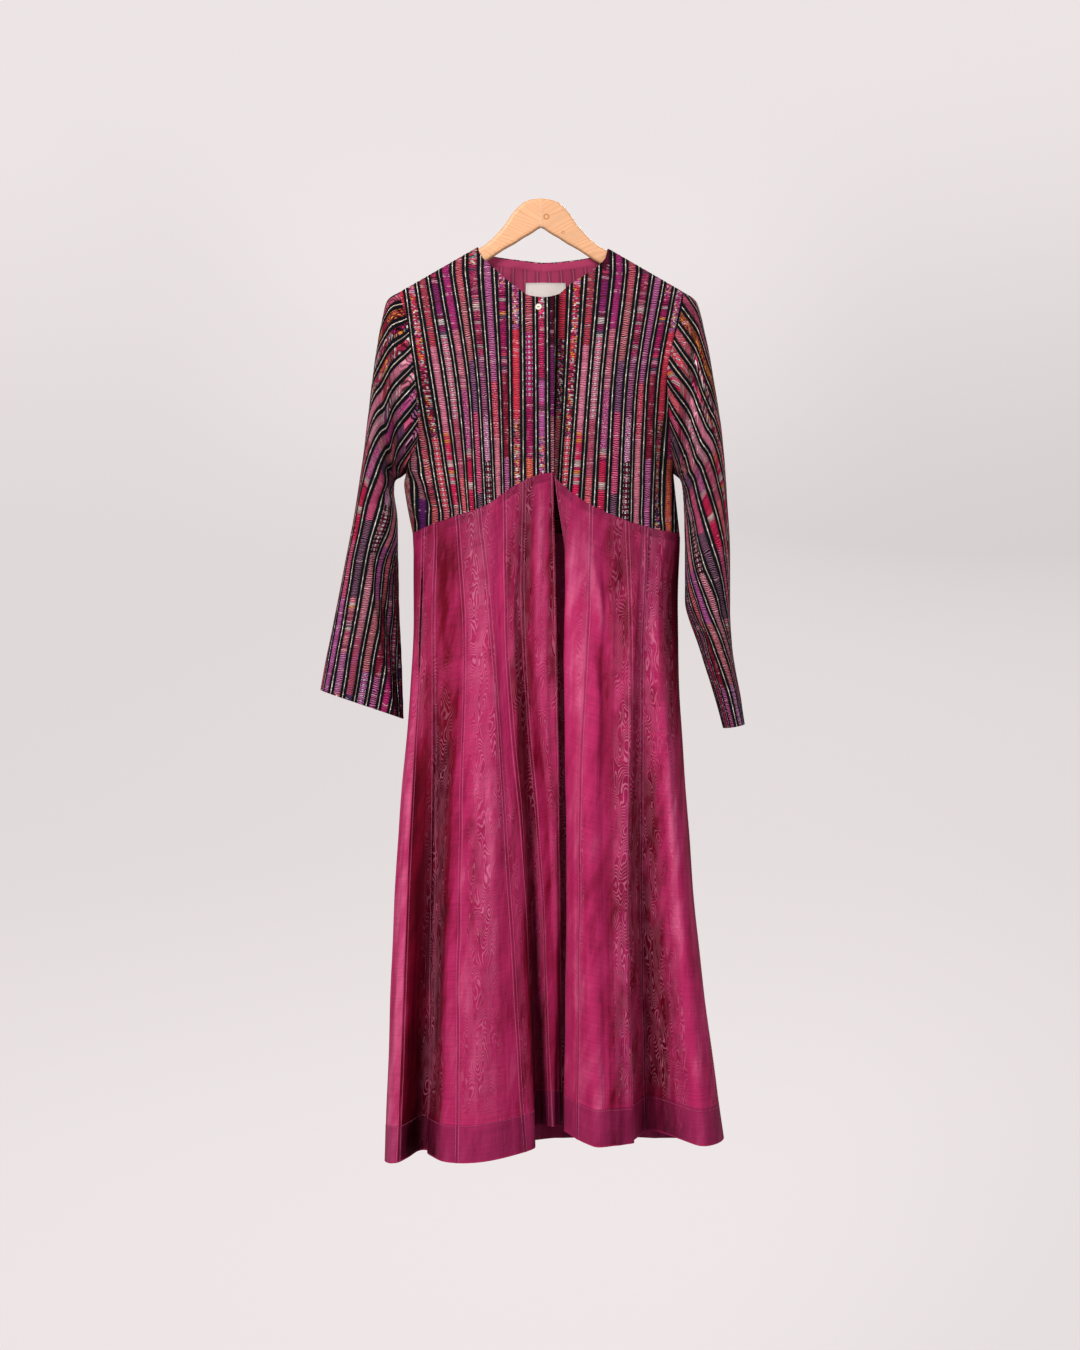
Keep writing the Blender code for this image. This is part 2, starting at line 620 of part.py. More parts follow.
def add_kali(name, first, last, material):
    """One skirt panel between two seams."""
    spans = max(2, round(COLUMNS_PER_FOLD * (last.hem - first.hem)))
    rows = []
    for row_index in range(SKIRT_ROWS + 1):
        drop_share = row_index / SKIRT_ROWS
        start = seam_fold(first, drop_share)
        end = seam_fold(last, drop_share)
        row = []
        for column in range(spans + 1):
            fold = mix(start, end, column / spans)
            point = skirt_point(fold, drop_share)
            normal = skirt_normal(fold, drop_share)
            if column in (0, spans):
                seam, towards = (first, 1.0) if column == 0 else (last, -1.0)
                if seam.name not in ("left_opening", "right_opening"):
                    next_point = skirt_point(fold + towards * 0.02, drop_share)
                    point = point + (next_point - point).normalized() * seam_inset(seam, point)
            if row_index == 0:
                normal = level_out(normal, 2)
                point = point - Vector((0.0, 0.0, WAIST_DROP))
            row.append((point, normal))
        rows.append(row)
    return add_wall(name, rows, 0.0, SILK_WALL, material)


def add_skirt(material):
    for name, first, last in zip(PANEL_NAMES, SEAMS, SEAMS[1:]):
        add_kali(name, first, last, material)


def add_neck_lining(back_rows, material):
    """The back's own points inside the neck, moved in."""
    near = STRIPED_WALL + SEAM_GAP
    patch = [row[LINING_FIRST_COLUMN:LINING_LAST_COLUMN + 1] for row in back_rows[:LINING_LAST_ROW + 1]]
    return add_wall("back_neck_lining", patch, near, near + LINING_WALL, material)


def grid_places(start, end):
    """The two places and every whole one between them, where the panel under them bends."""
    return [start] + list(range(math.floor(start) + 1, math.ceil(end))) + [end]


def grid_value(rows, column, row):
    """Point and normal between the grid points of a panel."""
    left, above = math.floor(column), math.floor(row)
    pairs = []
    for line in (rows[above], rows[above + 1]):
        pairs.append([line[left][part].lerp(line[left + 1][part], column - left) for part in (0, 1)])
    return tuple(pairs[0][part].lerp(pairs[1][part], row - above) for part in (0, 1))


def add_label(back_rows, material):
    """A tape on the lining, made from the back's points moved in."""
    near = STRIPED_WALL + LINING_WALL + 2.0 * SEAM_GAP + LABEL_LIFT
    columns = grid_places(LABEL_FIRST_COLUMN, LABEL_LAST_COLUMN)
    places = grid_places(LABEL_FIRST_ROW, LABEL_LAST_ROW)
    patch = [[grid_value(back_rows, column, row) for column in columns] for row in places]
    return add_wall("neck_label", patch, near, near + LABEL_WALL, material)


def add_button(material):
    """A turned disc with a raised rim, laid on the left front, and two holes through it."""
    def surface(u, v):
        return body_point(BUTTON_X + (u - 0.5) * 0.01, BUTTON_Z - (v - 0.5) * 0.01, "front")
    seat = surface(0.5, 0.5)
    normal = surface_normal(surface, 0.5, 0.5, Vector((0.0, -1.0, 0.0)))
    profile = [
        (0.0, 0.0),
        (BUTTON_RADIUS - 0.6 * MM, 0.0),
        (BUTTON_RADIUS, 0.8 * MM),
        (BUTTON_RADIUS, BUTTON_THICKNESS - 0.5 * MM),
        (BUTTON_RADIUS - 0.6 * MM, BUTTON_THICKNESS),
        (BUTTON_RADIUS - 1.3 * MM, BUTTON_THICKNESS - 0.1 * MM),
        (BUTTON_RADIUS - 1.9 * MM, BUTTON_THICKNESS - 0.6 * MM),
        (0.0, BUTTON_THICKNESS - 0.6 * MM),
    ]
    disc = bmesh.new()
    line = [disc.verts.new((radius, 0.0, height)) for radius, height in profile]
    edges = [disc.edges.new(pair) for pair in zip(line, line[1:])]
    bmesh.ops.spin(disc, geom=line + edges, cent=(0, 0, 0), axis=(0, 0, 1), angle=math.tau, steps=20,
                   use_merge=True)
    bmesh.ops.remove_doubles(disc, verts=disc.verts, dist=1e-6)
    bmesh.ops.recalc_face_normals(disc, faces=disc.faces)
    button = add_object("neck_button", disc, material)
    button.location = seat + normal * SEAM_GAP
    button.rotation_euler = normal.to_track_quat("Z", "Y").to_euler()
    for side in (-1, 1):
        add_hole(button, side * BUTTON_HOLE_SPACING / 2.0)
    return button


def add_cutter(name, radius, depth, segments):
    drill = bmesh.new()
    bmesh.ops.create_cone(drill, cap_ends=True, segments=segments, radius1=radius, radius2=radius,
                          depth=depth)
    mesh = bpy.data.meshes.new(name)
    drill.to_mesh(mesh)
    drill.free()
    cutter = bpy.data.objects.new(name, mesh)
    bpy.context.scene.collection.objects.link(cutter)
    cutter.hide_render = True
    cutter.display_type = "WIRE"
    return cutter


def cut(piece, cutter):
    hole = piece.modifiers.new(cutter.name, "BOOLEAN")
    hole.operation = "DIFFERENCE"
    hole.object = cutter


def add_hole(button, x):
    name = "hole_cutter_left" if x < 0.0 else "hole_cutter_right"
    cutter = add_cutter(name, BUTTON_HOLE_RADIUS, 4.0 * BUTTON_THICKNESS, 12)
    cutter.parent = button
    cutter.location = (x, 0.0, 0.0)
    cut(button, cutter)


def hanger_stations(side):
    """Upper and lower edge points of one arm, from the middle to its rounded tip."""
    stations = list(HANGER_CROWN)
    for place in HANGER_ARM_PLACES:
        top = shoulder_z(side * place) - HANGER_DROP
        lower = place - 0.35 * ARM_DEPTH
        stations.append(Station(place, top, lower, top - 0.80 * ARM_DEPTH))
    tip = (SHOULDER_TIP_RIGHT if side > 0 else -SHOULDER_TIP_LEFT) - TIP_INSET
    tip_top = shoulder_z(side * (tip - 0.006)) - HANGER_DROP
    stations.append(Station(tip - 0.006, tip_top, tip - 0.010, tip_top - 0.017))
    stations.append(Station(tip, tip_top - 0.0055, tip - 0.002, tip_top - 0.0125))
    return stations


def hanger_ring(station, half):
    """Section of the arm at a station of the +X side: flat faces with rounded upper and lower edges."""
    top = Vector((station.top_x, 0.0, station.top_z))
    bottom = Vector((station.bottom_x, 0.0, station.bottom_z))
    down = (bottom - top).normalized()
    width = (bottom - top).length
    round_off = min(half, 0.45 * width)
    shape = ((0.00, 0.00), (0.55, 0.12), (0.90, 0.45), (1.00, 1.00))
    upper = [(share * half, depth * round_off) for share, depth in shape]
    lower = [(reach, width - depth) for reach, depth in reversed(upper)]
    front = upper + lower
    back = [(-reach, depth) for reach, depth in reversed(front[1:-1])]
    return [top + down * depth + Vector((0.0, -reach, 0.0)) for reach, depth in front + back]


def add_hanger_arm(name, side, socket, material):
    arm = bmesh.new()
    rings = []
    stations = hanger_stations(side)
    for index, station in enumerate(stations):
        half = HANGER_HALF_THICKNESS * (0.55 if index == len(stations) - 1 else 1.0)
        ring = []
        for point in hanger_ring(station, half):
            x = side * (point.x + SEAM_GAP / 2.0)
            ring.append(arm.verts.new((x, point.y, point.z)))
        rings.append(ring)
    for first, second in zip(rings, rings[1:]):
        for index in range(len(first)):
            after = (index + 1) % len(first)
            arm.faces.new((first[index], first[after], second[after], second[index]))
    arm.faces.new(rings[0])
    arm.faces.new(rings[-1])
    bmesh.ops.recalc_face_normals(arm, faces=arm.faces)
    piece = add_object(name, arm, material)
    cut(piece, socket)
    return piece


def add_hanger(material):
    socket = add_cutter("socket_cutter", SOCKET_RADIUS, 2.0 * SOCKET_DEPTH, 16)
    add_hanger_arm("hanger_arm_left", -1, socket, material)
    add_hanger_arm("hanger_arm_right", 1, socket, material)


def main():
    for item in list(bpy.data.objects):
        bpy.data.objects.remove(item, do_unlink=True)
    materials = {name: make_material(name) for name in COLOURS}
    add_hanger(materials["hanger_wood"])
    rows = add_bodice(materials["striped_cloth"])
    left = armhole_ring(rows["front_left"], rows["back"], 0, 0, -1.0)
    right = armhole_ring(rows["front_right"], rows["back"], 0, -1, 1.0)
    add_sleeve("sleeve_left", SLEEVE_LEFT, left, materials["striped_cloth"])
    add_sleeve("sleeve_right", SLEEVE_RIGHT, right, materials["striped_cloth"])
    add_skirt(materials["pink_silk"])
    add_neck_lining(rows["back"], materials["lining_silk"])
    add_label(rows["back"], materials["label_tape"])
    add_button(materials["button_shell"])


if __name__ == "__main__":
    main()
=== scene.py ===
"""Kurta tunic on its wooden hanger: striped bodice and sleeves, a flared silk skirt of panels.

Metres, +Z up, the front towards -Y, and the origin at the top of the hanger. "Left" and "right" are as seen
from the front. Laid out as an add-on: the panel in the sidebar lists one operator for each group of pieces.
"""

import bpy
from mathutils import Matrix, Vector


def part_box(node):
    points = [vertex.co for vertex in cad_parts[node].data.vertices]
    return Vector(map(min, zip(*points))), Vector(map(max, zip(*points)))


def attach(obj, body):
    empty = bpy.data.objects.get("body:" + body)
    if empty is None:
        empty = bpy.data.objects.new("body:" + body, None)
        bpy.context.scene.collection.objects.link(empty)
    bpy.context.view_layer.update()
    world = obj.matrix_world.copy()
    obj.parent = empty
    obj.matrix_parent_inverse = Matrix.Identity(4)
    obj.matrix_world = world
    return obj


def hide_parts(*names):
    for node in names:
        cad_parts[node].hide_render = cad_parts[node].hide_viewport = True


bl_info = {
    "name": "Kurta tunic",
    "version": (1, 0, 0),
    "blender": (4, 5, 0),
    "location": "3D View > Sidebar > Kurta",
    "description": "Builds a kurta tunic hanging on a wooden hanger",
    "category": "Add Mesh",
}

import math
from collections import namedtuple

import bmesh
import bpy
import numpy as np
from mathutils import Vector

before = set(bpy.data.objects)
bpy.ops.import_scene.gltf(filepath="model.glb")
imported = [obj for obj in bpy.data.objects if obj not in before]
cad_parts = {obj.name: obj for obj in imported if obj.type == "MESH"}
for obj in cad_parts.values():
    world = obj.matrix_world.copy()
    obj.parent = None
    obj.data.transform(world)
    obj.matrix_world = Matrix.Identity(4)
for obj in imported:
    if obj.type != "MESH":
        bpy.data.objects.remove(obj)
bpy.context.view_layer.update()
BODY = "root"

MM = 0.001

# how many of a table's units make one of the script's: millimetres, tenths of one, and hundredths
MILLI = 1000.0
TENTH_MILLI = 10000.0
HUNDREDTH = 100.0


def table(columns, rows, scale=1.0):
    """Rows with named columns, their numbers divided by the scale."""
    row_kind = namedtuple("Row", columns)
    return [row_kind(*(value / scale for value in row)) for row in rows]


# cloth: the panels meet at their seams, and layers lie a little apart
SEAM_GAP = 0.04 * MM
LAYER_GAP = 0.3 * MM
STRIPED_WALL = 1.8 * MM
SILK_WALL = 1.4 * MM
LINING_WALL = 1.0 * MM
LABEL_WALL = 0.8 * MM
LABEL_LIFT = 0.6 * MM

# bodice
SHOULDER_TIP_LEFT = -0.1875
SHOULDER_TIP_RIGHT = 0.1890
SHOULDER_TIP_Z = -0.1246
NECK_POINT_LEFT = -0.0838
NECK_POINT_RIGHT = 0.0891
NECK_TURN = 0.0011
OVERLAP_EDGE = 0.0170
UNDERLAP_EDGE = -0.0100
OVERLAP_BLEND = 0.0200
OVERLAP_STEP = STRIPED_WALL + 0.5 * MM
ARMHOLE_REACH = 0.0420
SHOULDER_RIDGE = 0.0100
SHOULDER_RIDGE_DROP = 0.0120
SHOULDER_FADE = 0.0900
# how square the bodice is across its width, and how full, with more fullness where the armhole is open
BODY_SQUARE = 2.6
BODY_FULL = 0.55
BODY_FULL_OPEN = 0.5
UNDERARM_SHARE = 0.75
ARMHOLE_SHARES = (0.0, 0.004, 0.018, 0.045, 0.10, 0.17, 0.25, 0.34, 0.44, 0.54, 0.64, 0.71, UNDERARM_SHARE)
BODICE_ROWS = 104
# heights tried for the upper end of each line of the striped cloth, and a first guess of its lower end
LINE_TOPS = np.linspace(-0.060, -0.150, 361)
LINE_BOTTOM = -0.44
LINE_STEPS = 20
LINE_SNAP = 1.5 * MM
# depth at which the crosswise threads lie level
THREAD_LEVEL = 0.240

# skirt
UPPER_LEVEL_Z = -0.561
LOWER_LEVEL_Z = -0.880
POCKET_TOP_Z = -0.497
POCKET_BOTTOM_Z = -0.630
POCKET_HALF_GAPE = 1.2 * MM
HEM_DEPTH = 0.048
SKIRT_LENGTH = 0.83
SKIRT_DENSE = 140
SKIRT_COLUMNS = 34
SKIRT_ROWS = 92
SEAM_BANDS = np.array([0.0, 1.0 * MM, 2.4 * MM, 3.6 * MM])
SEAM_HEIGHT = 0.45 * MM
HEM_HEIGHT = 0.35 * MM
STITCH_OFFSET = 2.4 * MM

# neck, button and camera; the camera stands on the middle line of the garment
LINING_BOTTOM_Z = -0.198
BINDING_DEPTH = 0.0095
BINDING_RELIEF = 0.5 * MM
LABEL_RELIEF = 0.2 * MM
LABEL_FOLD = 2.2 * MM
LABEL_MARGIN = 0.4 * MM
BUTTON_X = -0.0033
BUTTON_Z = -0.1521
CAMERA_PLACE = (-0.0013, -3.2, -0.634)
CAMERA_LENS = 64.16
CAMERA_SENSOR = 36.0

# the bodice at a height: its left and right edge, and how far its middle stands out
LEVELS = table("z left right front_middle back_middle", [
    (0, -187.5, 189, 22, 16), (-125, -187.5, 189, 44, 32), (-160, -178, 184, 50, 38),
    (-200, -171.6, 173, 55, 44), (-240, -166.5, 165.5, 59, 49), (-280, -163, 167.5, 61, 52),
    (-315, -161, 170.5, 63, 54), (-365, -179, 176, 65, 57), (-380, -182, 177.5, 66, 58),
    (-400, -179.5, 179.5, 66, 59), (-447, -170.5, 184.5, 67, 61),
], MILLI)

EDGE = "x z"
FRONT_NECKLINE = table(EDGE, [
    (NECK_POINT_LEFT, -0.0648), (NECK_POINT_LEFT + NECK_TURN, -0.0735), (-0.0697, -0.0887),
    (-0.0579, -0.1012), (-0.0408, -0.1183), (-0.0290, -0.1276), (-0.0155, -0.1363), (0.0052, -0.1385),
    (0.0223, -0.1345), (0.0368, -0.1223), (0.0605, -0.1052), (0.0763, -0.0920),
    (NECK_POINT_RIGHT - NECK_TURN, -0.0760), (NECK_POINT_RIGHT, -0.0668),
])
BACK_NECKLINE = table(EDGE, [
    (NECK_POINT_LEFT, -0.0648), (NECK_POINT_LEFT + NECK_TURN, -0.0702), (-0.0616, -0.0755),
    (-0.0241, -0.0796), (0.0081, -0.0818), (0.0442, -0.0796), (0.0643, -0.0770),
    (NECK_POINT_RIGHT - NECK_TURN, -0.0722), (NECK_POINT_RIGHT, -0.0668),
])
WAISTS = {
    "left": table(EDGE, [
        (-0.1705, -0.4460), (-0.1412, -0.4353), (-0.1164, -0.4275), (-0.0732, -0.4131), (-0.0366, -0.3883),
        (-0.0105, -0.3752), (OVERLAP_EDGE, -0.3692),
    ]),
    "right": table(EDGE, [
        (UNDERLAP_EDGE, -0.3490), (OVERLAP_EDGE, -0.3750), (0.0366, -0.3935), (0.0666, -0.4131),
        (0.0987, -0.4270), (0.1242, -0.4360), (0.1581, -0.4435), (0.1845, -0.4470),
    ]),
    "back": table(EDGE, [(-0.1705, -0.4460), (0.0070, -0.4420), (0.1845, -0.4470)]),
}
BACK_WAIST = WAISTS["back"]

# where each pale cord of the striped cloth runs, at the shoulder, the chest and the waist
CORD = "shoulder chest waist"
CORD_HEIGHTS = (-0.100, -0.266, -0.420)
LEFT_CORDS = table(CORD, [
    (-2330, -2055, -1800), (-2160, -1895, -1640), (-1995, -1738, -1475), (-1830, -1583, -1310),
    (-1675, -1400, -1165), (-1510, -1235, -1045), (-1355, -1078, -950), (-1175, -932, -845),
    (-1005, -810, -725), (-800, -678, -600), (-620, -532, -490), (-428, -402, -375), (-256, -236, -230),
    (-78, -67, -62), (80, 85, 95), (245, 250, 262),
], TENTH_MILLI)
RIGHT_CORDS = table(CORD, [
    (-145, -145, -215), (25, 20, -60), (195, 172, 85), (388, 310, 216), (580, 464, 350), (767, 619, 515),
    (950, 776, 688), (1122, 934, 862), (1300, 1092, 1022), (1485, 1240, 1175), (1650, 1375, 1318),
    (1810, 1518, 1458), (1970, 1668, 1605), (2130, 1822, 1760), (2290, 1980, 1915),
], TENTH_MILLI)
BACK_CORD_STEPS = (0.0168, 0.0150, 0.0144)
BACK_CORDS = table(CORD, [[0.001 + step * number for step in BACK_CORD_STEPS] for number in range(-14, 15)])

# one row for each crest, valley and edge of the skirt, from the left opening edge round to the right one. The
# left side seam, and the left and right edge of the back, lie at the folds named below
FOLDS = table("top_x upper_x upper_y lower_x lower_y hem_x hem_y hem_z", [
    # left front and side
    (16, 20, -60, 25, -52, 29, -5, -1234), (5, -3, -68, 13, -64, 15, -22, -1230),
    (-13, -22, -56, -13, -35, -7, -2, -1233), (-33, -38, -66, -24, -60, -10, -52, -1252),
    (-69, -67, -80, -76, -97, -86, -108, -1261), (-108, -103, -68, -116, -74, -130, -82, -1264),
    (-134, -136, -50, -143, -36, -156, -15, -1263), (-155, -158, -40, -173, -44, -187, -52, -1272),
    (-170.5, -170, -4, -191, -3, -209, 0, -1280),
    # back
    (-162, -165, 36, -185, 56, -195, 75, -1291), (-137, -135, 50, -150, 45, -162, 52, -1276),
    (-103, -106, 66, -113, 88, -125, 112, -1285), (-66, -66, 58, -72, 55, -77, 62, -1268),
    (-28, -30, 70, -26, 92, -23, 122, -1277), (9, 7, 60, 16, 58, 26, 60, -1261),
    (46, 45, 70, 57, 88, 70, 116, -1272), (83, 84, 58, 96, 56, 110, 60, -1260),
    (118, 121, 66, 138, 83, 157, 106, -1270), (150, 149, 50, 165, 50, 194, 58, -1261),
    (174, 171, 36, 189, 50, 227, 72, -1265),
    # right side and front
    (184.5, 181, 0, 198, 0, 243, 0, -1250), (165, 156, -45, 174, -58, 209, -75, -1246),
    (142, 136, -52, 137, -28, 145, 4, -1240), (124, 120, -68, 109, -68, 118, -56, -1246),
    (92, 93, -64, 90, -73, 97, -82, -1244), (64, 66, -76, 63, -88, 72, -98, -1243),
    (33, 31, -62, 35, -52, 32, -35, -1233), (17, 43, -30, 52, -12, 48, -4, -1237),
], MILLI)
LEFT_SIDE_FOLD = 7.0
LEFT_EDGE_FOLD = 8.0
RIGHT_EDGE_FOLD = 20.0
LAST_FOLD = len(FOLDS) - 1.0

# where each seam runs, in folds
Seam = namedtuple("Seam", "name waist halfway hem")
SEAMS = [Seam(*row) for row in (
    ("left_opening", 0, 0, 0), ("left_5", 2.47, 1.7, 1.1), ("left_4", 3.45, 3.1, 2.6),
    ("left_3", 4.3, 3.52, 3.25), ("left_2", 5.05, 4.75, 4.45), ("left_1", 6.2, 6, 5.8),
    ("left_side", LEFT_SIDE_FOLD, LEFT_SIDE_FOLD, LEFT_SIDE_FOLD), ("back_1", 9.8, 9.6, 9.5),
    ("back_2", 11.05, 10.9, 10.8), ("back_3", 12.2, 12.1, 12.1), ("back_4", 13.25, 13.25, 13.3),
    ("back_5", 14.2, 14.2, 14.2), ("back_6", 15.15, 15.2, 15.2), ("back_7", 16.1, 16.2, 16.3),
    ("back_8", 17.1, 17.3, 17.4), ("back_9", 18.3, 18.5, 18.6),
    ("right_side", RIGHT_EDGE_FOLD, RIGHT_EDGE_FOLD, RIGHT_EDGE_FOLD), ("right_1", 22.2, 22.15, 22.2),
    ("right_2", 23.4, 22.85, 22.9), ("right_3", 24.95, 25.35, 25.5),
    ("right_opening", LAST_FOLD, LAST_FOLD, LAST_FOLD),
)]
SEAM_HEIGHTS = (0.0, 0.45, 1.0)
POCKET_SEAMS = ("left_side", "right_side")
OPENING_SEAMS = ("left_opening", "right_opening")
PANEL_NAMES = (
    [f"kali_front_left_{number}" for number in (6, 5, 4, 3, 2, 1)]
    + [f"kali_back_{number}" for number in range(1, 11)]
    + [f"kali_front_right_{number}" for number in (1, 2, 3, 4)]
)

# each ring of a sleeve after the armhole. Twist is how far the stripes are carried round towards the back.
# Turn and gather are in thousandths: gather is how closely the stripes lie along the ring, less than 1 where
# they cross it on a slant
RING = "outer_x outer_z inner_x inner_z front back turn twist gather"
ARMHOLE_GATHER = {"left": 0.70, "right": 0.60}
SLEEVES = {
    "left": table(RING, [
    (-203, -135, -187, -371.5, 46, 46, 0, -3, 610), (-217, -195, -192, -374, 49, 50, 0, 18, 600),
    (-226, -262, -195, -379, 49, 52, 0, 46, 640), (-235, -335, -196, -393, 45, 50, 0, 69, 720),
    (-247, -415, -191, -428, 39, 45, 0, 84, 820), (-261, -488, -190, -484, 34, 38, 0, 88, 900),
    (-275, -561, -188, -561, 30, 34, 50, 88, 960), (-286, -614, -185, -625, 27, 30, 350, 86, 1000),
    (-293, -654, -183, -692, 24, 27, 650, 85, 1000),
    ], MILLI),
    "right": table(RING, [
    (206, -137, 185, -374, 46, 46, 0, -14, 580), (219, -186, 187, -378, 49, 50, 0, -9, 660),
    (231, -252, 188.5, -386, 51, 53, 0, 6, 750), (241, -321, 190, -402, 51, 54, 0, 30, 820),
    (247, -401, 191.5, -441, 52, 55, 0, 50, 850), (251, -481, 192, -488, 53, 56, 0, 66, 870),
    (251, -548, 192, -534, 54, 56, 0, 83, 900), (254, -601, 210, -594, 54, 56, 0, 99, 940),
    (264, -660, 231, -660, 53, 54, 0, 107, 980), (270, -699, 243, -704.5, 52, 52, 0, 109, 1000),
    ], MILLI),
}

# height in millimetres of the striped cloth's face across one repeat, which starts and ends on a pale cord
STRIPE_PROFILE = (
    (0.000, 0.30), (0.046, 0.02), (0.128, 0.50), (0.216, -0.22), (0.320, 0.10), (0.500, 0.34), (0.680, 0.10),
    (0.784, -0.22), (0.872, 0.50), (0.954, 0.02),
)

# creases pressed or pulled into the cloth, seen from the front or the back: both ends, how far the line bows
# sideways, how high it stands (a trough is negative) and its half width
CREASE = "start_x start_z end_x end_z bow height width"
BODICE_CREASES = {
    "front": table(CREASE, [
    (-184, -330, -146, -385, 4, 4.5, 7), (-178, -352, -140, -425, 5, -4.5, 6),
    (-181, -380, -152, -440, 3, 3.5, 6), (-172, -300, -128, -350, 3, -2.2, 7),
    (-98, -230, -92, -405, 2, -2.2, 6), (-86, -170, -80, -390, -2, 1.5, 7),
    (-150, -150, -118, -260, 4, -1.2, 9), (160, -280, 160, -445, 2, -5.5, 7),
    (146, -300, 148, -440, -2, 2.5, 6), (130, -290, 124, -430, 2, -2.4, 5),
    (150, -170, 118, -300, -4, -1.4, 8), (70, -170, 60, -330, 2, -1, 9), (12, -150, -30, -200, -3, -0.9, 7),
    ], MILLI),
    "back": table(CREASE, [
    (-180, -335, -132, -400, 4, -4, 7), (-176, -300, -120, -345, 3, 2.4, 8),
    (176, -330, 126, -395, -4, -4, 7), (172, -295, 112, -340, -3, 2.4, 8),
    (-60, -180, -52, -400, 3, -2, 10), (46, -200, 52, -410, -3, -2, 9), (0, -150, -6, -330, 2, 1.4, 12),
    (-118, -160, -98, -330, 4, -1.6, 8), (120, -160, 102, -340, -4, -1.6, 8),
    ], MILLI),
}
SLEEVE_CREASES = {
    "front": table(CREASE, [
    (-164, -335, -212, -372, -4, -5, 6), (-168, -352, -205, -395, 3, 4, 6),
    (-188, -372, -226, -420, -3, -3.5, 6), (-196, -410, -224, -500, 4, 3.5, 8),
    (-206, -430, -226, -540, 5, -4, 6), (-192, -470, -216, -560, 3, 3, 5),
    (-238, -300, -250, -420, 3, -2, 7), (-217, -500, -186, -690, -5, -5, 5),
    (-229, -490, -200, -690, -6, 3.5, 6), (168, -250, 186, -330, 2, -3.5, 5),
    (176, -300, 200, -400, 2, 2.5, 6), (190, -400, 214, -500, 3, -3, 6), (205, -420, 232, -560, 4, 2, 7),
    (198, -520, 222, -610, 3, -3, 5),
    ], MILLI),
    "back": table(CREASE, [
    (-170, -340, -220, -390, -4, -4, 7), (-205, -420, -240, -480, 4, -3, 8),
    (-200, -500, -236, -590, 3, 2.4, 7), (172, -330, 220, -400, 4, -4, 7), (205, -440, 236, -540, 4, -3, 7),
    (214, -500, 246, -640, 3, 2.2, 7),
    ], MILLI),
}
SKIRT_CREASES = {
    "front": table(CREASE, [
    (54, -450, 96, -650, -3, 3, 7), (44, -480, 86, -690, -3, -2.5, 9), (-143, -450, -122, -760, 4, 3, 8),
    (-104, -520, -116, -700, -3, -2, 8), (-52, -440, -60, -620, 2, -2.2, 7),
    (-18, -400, -22, -560, 2, -2, 6), (-4, -400, -8, -520, 2, 1.6, 6), (108, -460, 110, -640, 2, -2.6, 7),
    (136, -455, 146, -600, 3, 2, 8), (-104, -800, -96, -930, 3, -1.6, 8),
    (-90, -900, -100, -1010, 4, -1.5, 7), (-112, -960, -98, -1090, 4, 1.3, 8),
    (170, -1080, 206, -1180, -4, 1.6, 7), (52, -860, 74, -1040, 4, -2, 9),
    (-50, -960, -30, -1120, 3, -1.8, 8),
    ], MILLI),
    "back": table(CREASE, [
    (-120, -460, -132, -680, 3, -2.6, 8), (-50, -455, -46, -640, 3, 2.4, 8),
    (30, -450, 36, -660, -3, -2.4, 8), (100, -455, 112, -640, 3, 2.2, 7), (-90, -800, -70, -980, 4, -2, 9),
    (80, -840, 100, -1050, -4, -2, 9), (4, -900, -6, -1080, 4, 1.6, 9),
    ], MILLI),
}

# soft unevenness: waves of a height and a length across and down, in millimetres, and their phase
CLOTH_WAVES = ((0.55, 61, 240, 0.4), (0.45, 43, -190, 2.1), (0.30, 27, 90, 4.0), (0.25, -35, 55, 1.3))
SILK_WAVES = ((0.70, 52, 900, 0.3), (0.50, 31, -700, 1.9), (0.35, 19, 420, 3.7), (0.30, 90, 140, 5.2))

# sharper edges and dips that run down the skirt beside the folds: places and width in folds, height in
# millimetres, and where the line starts and ends as a share of the skirt's length
FoldLine = namedtuple("FoldLine", "top bottom height width start end")
FOLD_LINES = [FoldLine(*row) for row in (
    (2.95, 3, 2.6, 0.16, 0.1, 1.1), (2.7, 2.72, -2.2, 0.14, 0.12, 1.1), (5.75, 5.6, 2.6, 0.16, 0.2, 1.1),
    (6, 5.85, -2.6, 0.14, 0.2, 1.1), (7.35, 7.28, 2.4, 0.14, 0.15, 1.1), (7.12, 7.06, -2, 0.12, 0.15, 1.1),
    (3.8, 3.7, 2, 0.16, 0.15, 0.75), (3.5, 3.45, -1.6, 0.14, 0.15, 0.75), (22.95, 22.98, 3, 0.14, 0.2, 1.1),
    (22.7, 22.74, -2.4, 0.14, 0.2, 1.1), (24.35, 24.45, -2.4, 0.18, 0.04, 0.62),
    (24, 24.1, 1.8, 0.16, 0.04, 0.62), (25.8, 25.95, 2.4, 0.16, 0.12, 1.1), (1.5, 1.5, -1.6, 0.2, 0.1, 0.8),
    (10.6, 10.55, 2, 0.18, 0.12, 1.1), (12.55, 12.6, -2, 0.18, 0.12, 0.9),
    (14.5, 14.45, 2, 0.18, 0.16, 1.1), (16.55, 16.6, -2, 0.18, 0.1, 0.85),
    (18.5, 18.45, 2, 0.18, 0.14, 1.1),
)]

